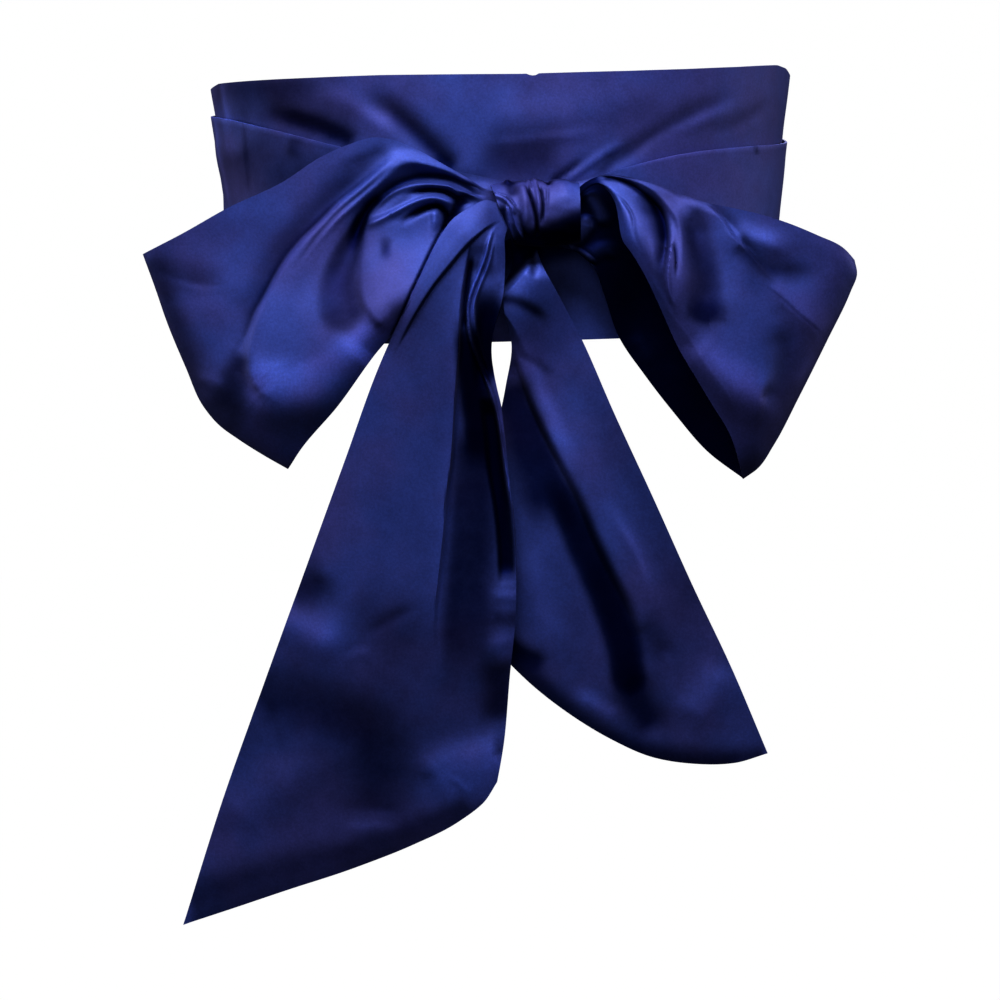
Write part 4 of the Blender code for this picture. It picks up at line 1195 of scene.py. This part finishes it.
# The tails' folds: (x, z)
# Their tones paint shade in the recesses and under the knot, and highlights on the folds
LEFT_TAIL_FOLDS = (
    Fold("strip along the edge", ((-1.5, -4.7), (-7, -6.9), (-13.8, -12.1), (-19.4, -17.4),
         (-25, -23.9), (-31.8, -31.8), (-38.7, -41.6), (-45.6, -53.1), (-51, -63)), 2.6, 1, 9.5, 0.08,
         crest=4, widen=0.8, tone=-0.08),
    shade("shade beside the strip", ((-6, -7.4), (-13.4, -12.8), (-19, -18.1), (-24.6, -24.6),
          (-31.4, -32.4), (-38.3, -42.1), (-45.2, -53.6), (-50.5, -63.4), (-55, -73)), -0.26, 11, 0.8,
          0.1, 0.4, widen=1.3),
    Fold("set-back side", ((-14, -14), (-16.4, -28), (-18.4, -39), (-19.4, -51), (-20.3, -66),
         (-21.6, -78), (-23, -94), (-24.4, -112), (-27.4, -130), (-28.8, -148), (-31.2, -166),
         (-33.4, -184), (-33, -202), (-31.8, -220)), -4.6, 19, 1.3, 0.08, 0.55, crest=6, widen=1.5,
         steps=28),
    Fold("main fold edge", ((-16, -20), (-19.2, -40), (-21.3, -66), (-24, -94), (-28.2, -130),
         (-32, -166), (-34, -190), (-33, -222)), 0.6, 0.8, 4, 0.12, 0.4, widen=1.2, tone=0.08,
         steps=28),
    shade("grey of the set-back side", ((-15, -96), (-16, -112), (-18, -130), (-19.5, -148),
          (-22, -170), (-24, -195), (-25, -228)), -0.48, 14, 8.6, 0.1, 0.4, crest=5),
    Fold("dark by the fold edge", ((-14.8, -21), (-16.4, -29), (-18.1, -40), (-18.9, -52)), -1, 1.2,
         1.2, 0.15, 0.1, tone=-0.7),
    shade("black of the set-back side", ((-17.6, -46), (-17.6, -56), (-17, -68), (-16.2, -80),
          (-14.6, -94), (-13.2, -118)), -0.85, 8, 5.5, 0.2, crest=4),
    Fold("second strip", ((-2.7, -9), (-3.1, -17.8), (-3.1, -26.6), (-2.2, -36)), 0.8, 3, 1.8, 0.1, 0.2,
         crest=3, tone=0.06),
    Fold("dark of the recess", ((-8, -32), (-8.2, -42), (-8.5, -54), (-9.5, -66), (-9, -80)), -3, 6.5,
         6, 0.35, 0.2, crest=4, widen=0.8, tone=-0.85),
    Fold("dark by the edge", ((-10, -84), (-8, -100), (-7, -116), (-4.9, -131), (-3.4, -149),
         (-3.2, -170)), -2.6, 4.2, 2.8, 0.1, 0.12, crest=4, tone=-0.82),
    Fold("first finished edge", ((-2.6, -6.8), (-6, -11.1), (-8.4, -19.9), (-11.9, -28.6),
         (-15.4, -36.2), (-17.2, -42.5), (-17.3, -51), (-16, -59.3), (-13.2, -68), (-9, -78),
         (-5.2, -92), (-3.2, -107), (-1, -123), (1, -139)), 2.2, 0.8, 0.9, 0.1, 0.12, tone=0.42,
         steps=28),
    Fold("second finished edge", ((-4.4, -12.3), (-7.4, -24.3), (-12.1, -35.2), (-14.4, -42.5),
         (-14.2, -51), (-12.4, -60), (-9.6, -69), (-5.4, -80)), 1.4, 0.7, 0.7, 0.2, 0.2, tone=0.34,
         steps=24),
    Fold("end of the recess", ((-10, -174.5), (-4, -174.5), (2, -175)), 0.5, 2.6, 2.8, 0.3, 0.2,
         tone=0.05),
    shade("dark below it", ((-10, -184), (-4, -185), (2, -185)), -0.34, 4, 4, 0.3, 0.2),
    Fold("low right light", ((-13, -198), (-6, -196), (1, -195)), 0.4, 3.4, 3.4, 0.3, tone=0.06),
    Fold("dark side", ((-5, -201), (-6.5, -212), (-7, -226), (-5, -238)), -1, 9, 8, 0.25, crest=2.2,
         tone=-0.46),
    Fold("upper dark patch", ((-101, -173), (-91, -169), (-82, -160)), -0.7, 11, 9, 0.2, 0.4,
         tone=-0.42),
    Fold("bright patch", ((-108, -181), (-98, -185), (-86, -192), (-72, -201)), 2, 11, 11, 0.15, 0.4),
    shade("shine of the patch", ((-105, -181), (-95, -185), (-84, -191), (-73, -198)), 0.24, 7, 6.5,
          0.15, 0.4),
    Fold("slanting crease", ((-40, -176), (-56.6, -184), (-70, -191.5)), -0.4, 2.6, 3.2, 0.4,
         tone=-0.14),
    Fold("slanting shine", ((-64, -198), (-70, -198.5), (-78, -202)), 0.3, 2.6, 2.2, 0.3, 0.4,
         tone=0.12),
    shade("quiet middle", ((-74, -172), (-54, -184), (-44, -202)), -0.14, 16, 15, 0.2),
    Fold("dark zone", ((-122, -226), (-108, -218), (-95, -221.5), (-79, -228), (-66, -238),
         (-62.5, -256), (-64, -280)), -1.6, 14, 15, 0.1, 0.1, crest=2.2, widen=1.1, tone=-0.3),
    shade("quiet lower half", ((-108, -240), (-70, -240), (-50, -232), (-46, -216)), -0.16, 34, 34, 0,
          0, crest=3),
    Fold("low left light", ((-134, -280), (-120, -266), (-106, -257), (-90, -262)), 1.6, 12, 12, 0.25,
         tone=0.1),
    Fold("low right shine", ((-42, -258), (-30, -251), (-18, -249), (-8, -247)), 1.8, 9, 16, 0.2, 0.1,
         crest=2.2, tone=0.26),
    Fold("corner crease", ((-31, -256), (-25, -261), (-20, -266)), 0.3, 1.4, 1.4, 0.3, tone=0.06),
    shade("shade of the hem", ((-154, -312), (-135, -305), (-110, -298), (-81, -291), (-52, -282),
          (-34, -275), (-20, -268)), -0.36, 9, 14, 0.05, 0.05, widen=0.5),
    Fold("rolled hem", ((-154, -327), (-135, -321), (-104, -311), (-75, -302), (-48, -292), (-27, -282),
         (-12, -271)), -1.2, 5, 5, 0.05, 0.05),
    Slack(0.35, 60, 31),
)
# Their tones paint shade in the recesses and under the knot, and highlights on the folds
RIGHT_TAIL_FOLDS = (
    Fold("forward turn at the top", ((-6, -44), (3, -35), (11, -26.5), (18, -20)), 16, 2.4, 27, 0.1, 0),
    shade("dark of the top", ((-8, -38), (1, -29.5), (9, -21), (14, -16)), -0.92, 9, 2.8, 0, 0,
          crest=4),
    shade("top light", ((-1, -41), (8, -31), (15, -24)), 0.14, 2.5, 8, 0.2, 0.1),
    Fold("first peak", ((10.6, -20), (10.2, -24), (8.8, -28)), 1.6, 1.1, 1.2, 0.1, 0.5, widen=1.2,
         tone=0.12),
    Fold("second peak", ((14.4, -20), (15.2, -25), (16.2, -29)), 1.6, 1.1, 1.1, 0.1, 0.5, widen=1.2,
         tone=0.12),
    Fold("dark between the peaks", ((12.7, -22), (12.4, -27), (12.8, -32)), -1.2, 1.3, 1.3, 0.1, 0.4,
         widen=1.2, tone=-0.35),
    Fold("set-back side", ((1.2, -62), (4.6, -75), (8, -86.5), (12.5, -98), (16.6, -107),
         (22.8, -119.5), (29.5, -134.2), (35.5, -150.7), (42, -165.5), (48.5, -178.5), (54, -191.4),
         (57, -206), (57.5, -220)), -2.5, 1.4, 13, 0.08, widen=3, steps=32),
    shade("upper shade", ((2, -74), (6, -88), (10, -102), (15, -118), (20, -134), (23, -150)), -0.56,
          7.4, 13, 0.12, crest=4, widen=1.2),
    Fold("black band", ((20, -118), (25.8, -134), (31.5, -150.7), (37, -163.7), (42.3, -176.6),
         (46.8, -189.6), (50.3, -202.5), (51.5, -214)), -0.8, 7.8, 7.4, 0.3, 0, crest=4, tone=-0.68,
         steps=24),
    Fold("bright upper strip", ((2, -56), (8, -70), (13.5, -84), (20, -98), (26, -112), (33, -126)),
         0.5, 5.5, 5.5, 0.2, 0.4, crest=3, widen=0.8, tone=0.24),
    shade("quiet right side", ((30, -60), (40, -82), (52, -106), (64, -132), (80, -165), (92, -195)),
          -0.22, 9, 10, 0.2, 0.2, crest=2.5, widen=1.6),
    shade("quiet lower part", ((30, -190), (58, -205), (84, -220)), -0.14, 40, 40, 0, 0, crest=3),
    # This shallow crease is darkened by painted shade
    Fold("stain", ((-5, -40.6), (3, -41.3), (10, -44.2), (20, -51.5)), -0.5, 2.2, 2.6, 0.05,
         tone=-0.52),
    Fold("soft crease", ((3, -64.5), (13, -70.5), (23, -78.5)), -0.4, 2.4, 2, 0.3, tone=-0.12),
    Fold("long ridge", ((44, -132), (50, -145), (56.5, -157), (62, -172), (66, -186)), 1, 3, 3, 0.4,
         0.4, tone=0.16),
    Fold("left light", ((5, -150), (10, -164), (15, -180), (22, -198), (30, -206)), 0.8, 6, 9, 0.3,
         tone=0.1),
    Fold("dark low left", ((-4, -197), (3, -201.8), (9, -204.6), (16, -208)), -0.6, 3.6, 4.6, 0.1,
         tone=-0.45),
    Fold("grey patch", ((56, -188), (65, -199), (71, -208)), -0.8, 6.5, 6.5, 0.3, tone=-0.2),
    Fold("low light", ((26, -221), (38, -228), (49, -235)), 0.8, 4.4, 4.4, 0.3, tone=0.16),
    Fold("low dark", ((50, -216), (58, -230), (64, -243)), -0.8, 9, 9, 0.25, tone=-0.46),
    Fold("corner shine", ((77, -236), (89, -223), (99, -209)), 1.4, 9, 9, 0.25, tone=0.16),
    shade("shade of the hem", ((-10, -194), (3, -209), (14, -220), (32, -235), (50, -246), (78, -253),
          (114, -254)), -0.4, 6, 7, 0.05, 0.02, crest=2.5),
    Fold("rolled hem", ((-16, -196), (-2, -211), (8, -221), (28, -237), (44, -247), (61, -255),
         (81, -259), (102, -259)), -1.2, 4.5, 6, 0.05, 0.05),
    Slack(0.3, 55, 32),
)


@dataclass
class HangingTail(ClothPiece):
    """A hanging tail, from the knot down to its slanting sewn end."""
    name: str = "tail_left"
    cells: tuple[int, int] = (230, 130)
    flat: tuple[float, float] = (118.0, 330.0)
    held: Held = Held.HUNG
    rests_on: tuple[str, ...] = ("knot",)
    outline: TailOutline = LEFT_TAIL
    folds: tuple = LEFT_TAIL_FOLDS
    crown: float = 3.0                  # how much further forward its middle lies than its edges
    root_share: float = 0.08            # share of the length over which creases come in at the knot

    def place(self, along: np.ndarray, across: np.ndarray) -> tuple[np.ndarray, np.ndarray]:
        """Find the tail's front face.

        Args:
            along: Shares of its length, from the knot down.
            across: Shares of its width, from its left edge.

        Returns:
            One point and one tone for each pair of shares.
        """
        line = self.outline
        spot = patch_at(line.root, line.cut_end, line.left_edge, line.right_edge, along, across)
        steps = np.linspace(0.0, 1.0, len(line.depths))
        depth = curve_at(steps, np.array(line.depths, dtype=float), along)
        rise = smooth_step(0.0, self.root_share, along)
        forward = self.crown * np.sin(math.pi * across) * rise
        relief, painted_tones = folded(self.folds, spot[:, 0], spot[:, 1])
        depth = depth - forward - relief * rise
        return np.column_stack((spot[:, 0], depth, spot[:, 1])), painted_tones


# ---------------------------------------------------------------- studio


@dataclass(frozen=True)
class SoftLight:
    """One soft box, aimed at the bow."""
    name: str
    place: tuple[float, float, float]
    size: tuple[float, float]
    power: float
    colour: tuple[float, float, float] = (1.0, 1.0, 1.0)

    def build(self, aim: Vector) -> bpy.types.Object:
        """Add the light.

        Args:
            aim: The place it points at.

        Returns:
            The light's object.
        """
        lamp = bpy.data.lights.new(self.name, "AREA")
        lamp.shape = "RECTANGLE"
        lamp.size, lamp.size_y = self.size
        lamp.energy = self.power
        lamp.color = self.colour
        light = bpy.data.objects.new(self.name, lamp)
        bpy.context.scene.collection.objects.link(light)
        light.location = self.place
        light.rotation_euler = (aim - Vector(self.place)).to_track_quat("-Z", "Y").to_euler()
        return light


@dataclass
class Studio:
    """The pale floor and room, the soft boxes and the camera."""
    floor_height: float = -1.05
    floor_size: float = 16.0
    floor_colour: tuple = (0.02, 0.02, 0.02, 1.0)       # it glows white, and so needs no more
    aim: Vector = field(default_factory=lambda: Vector((0.0, -0.10, -0.10)))
    lens: float = 121.6
    camera_place: tuple[float, float, float] = (-0.0048, -1.635, 0.004)
    pitch: float = 5.08                 # degrees the camera looks down
    roll: float = 1.3                   # degrees it is turned clockwise
    contrast: float = 0.75              # below 1 the shadows are deeper
    lights: tuple[SoftLight, ...] = (
        SoftLight("key", (-0.08, -0.76, 1.00), (1.1, 0.40), 28.0),
        SoftLight("face", (-0.2, -1.7, 0.2), (0.9, 0.9), 5.0),
        SoftLight("side_left", (-1.3, 0.1, 0.3), (0.5, 1.2), 8.0, (1.0, 0.90, 0.80)),
        SoftLight("side_right", (1.3, 0.1, 0.3), (0.5, 1.2), 8.0, (1.0, 0.90, 0.80)),
        SoftLight("back", (0.3, 1.6, 0.9), (1.0, 1.0), 16.0),
    )

    def build(self) -> None:
        """Add all of it."""
        self.add_world()
        self.add_floor()
        for light in self.lights:
            light.build(self.aim)
        self.add_camera()

    def add_world(self) -> None:
        """Make the room plain white, without letting it light or reflect in the cloth."""
        world = bpy.data.worlds.new("room")
        bpy.context.scene.world = world
        world.use_nodes = True
        background = world.node_tree.nodes["Background"]
        background.inputs["Color"].default_value = WHITE
        background.inputs["Strength"].default_value = 1.0
        world.cycles_visibility.diffuse = False
        world.cycles_visibility.glossy = False
        bpy.context.scene.view_settings.view_transform = "Standard"
        bpy.context.scene.view_settings.gamma = self.contrast

    def add_floor(self) -> None:
        """Lay the pale floor."""
        bpy.ops.object.select_all(action="DESELECT")
        bpy.ops.mesh.primitive_plane_add(size=self.floor_size, location=(0.0, 0.0, 0.0))
        floor = bpy.context.object
        floor.name = "floor"
        floor.data.transform(Matrix.Translation((0.0, 0.0, self.floor_height)))
        graph = Graph("floor_pale")
        graph.finish({"Base Color": self.floor_colour, "Roughness": 1.0, "Specular IOR Level": 0.0,
                      "Emission Color": WHITE, "Emission Strength": 1.0})
        floor.data.materials.append(graph.material)
        floor.visible_diffuse = False
        floor.visible_glossy = False

    def add_camera(self) -> None:
        """Set up the camera at the front, at the height of the band's middle."""
        lens = bpy.data.cameras.new("camera")
        lens.lens = self.lens
        lens.sensor_width = 36.0
        lens.clip_end = 60.0
        camera = bpy.data.objects.new("camera", lens)
        bpy.context.scene.collection.objects.link(camera)
        turn = Matrix.Rotation(math.radians(90.0 - self.pitch), 4, "X")
        turn = turn @ Matrix.Rotation(math.radians(-self.roll), 4, "Z")
        camera.matrix_world = Matrix.Translation(self.camera_place) @ turn
        bpy.context.scene.camera = camera


def main() -> None:
    """Build every piece in order, then the studio."""
    logging.basicConfig(level=logging.INFO, format="%(name)s: %(message)s")
    satin = SatinFinish()
    pieces = (
        WaistBand(),
        OuterWrap(turned=True),
        OuterWrap(name="wrap_right", rows=RIGHT_WRAP, folds=RIGHT_WRAP_FOLDS, side=Side.RIGHT,
                  tucked=True, flat=(118.0, 345.0)),
        Knot(),
        BowLoop(sag=2.2, root_sag=5.0, root_hem=0.32, front_crown=13.0, front_hem=20.0),
        BowLoop(name="loop_right", outline=RIGHT_LOOP, folds=RIGHT_LOOP_FOLDS,
                inner_folds=RIGHT_INNER_FOLDS, root_depth=-110.0, fold_depth=-104.0,
                front_edge=14.0, front_hem=20.0, front_crown=9.0, back_tilt=8.0, turned=True,
                flat=(118.0, 270.0), area=26200.0),
        HangingTail(area=35000.0),
        HangingTail(name="tail_right", outline=RIGHT_TAIL, folds=RIGHT_TAIL_FOLDS, crown=2.0,
                    flat=(118.0, 250.0), area=22500.0),
    )
    for piece in pieces:
        piece.build(satin)
    Studio().build()


if __name__ == "__main__":
    main()
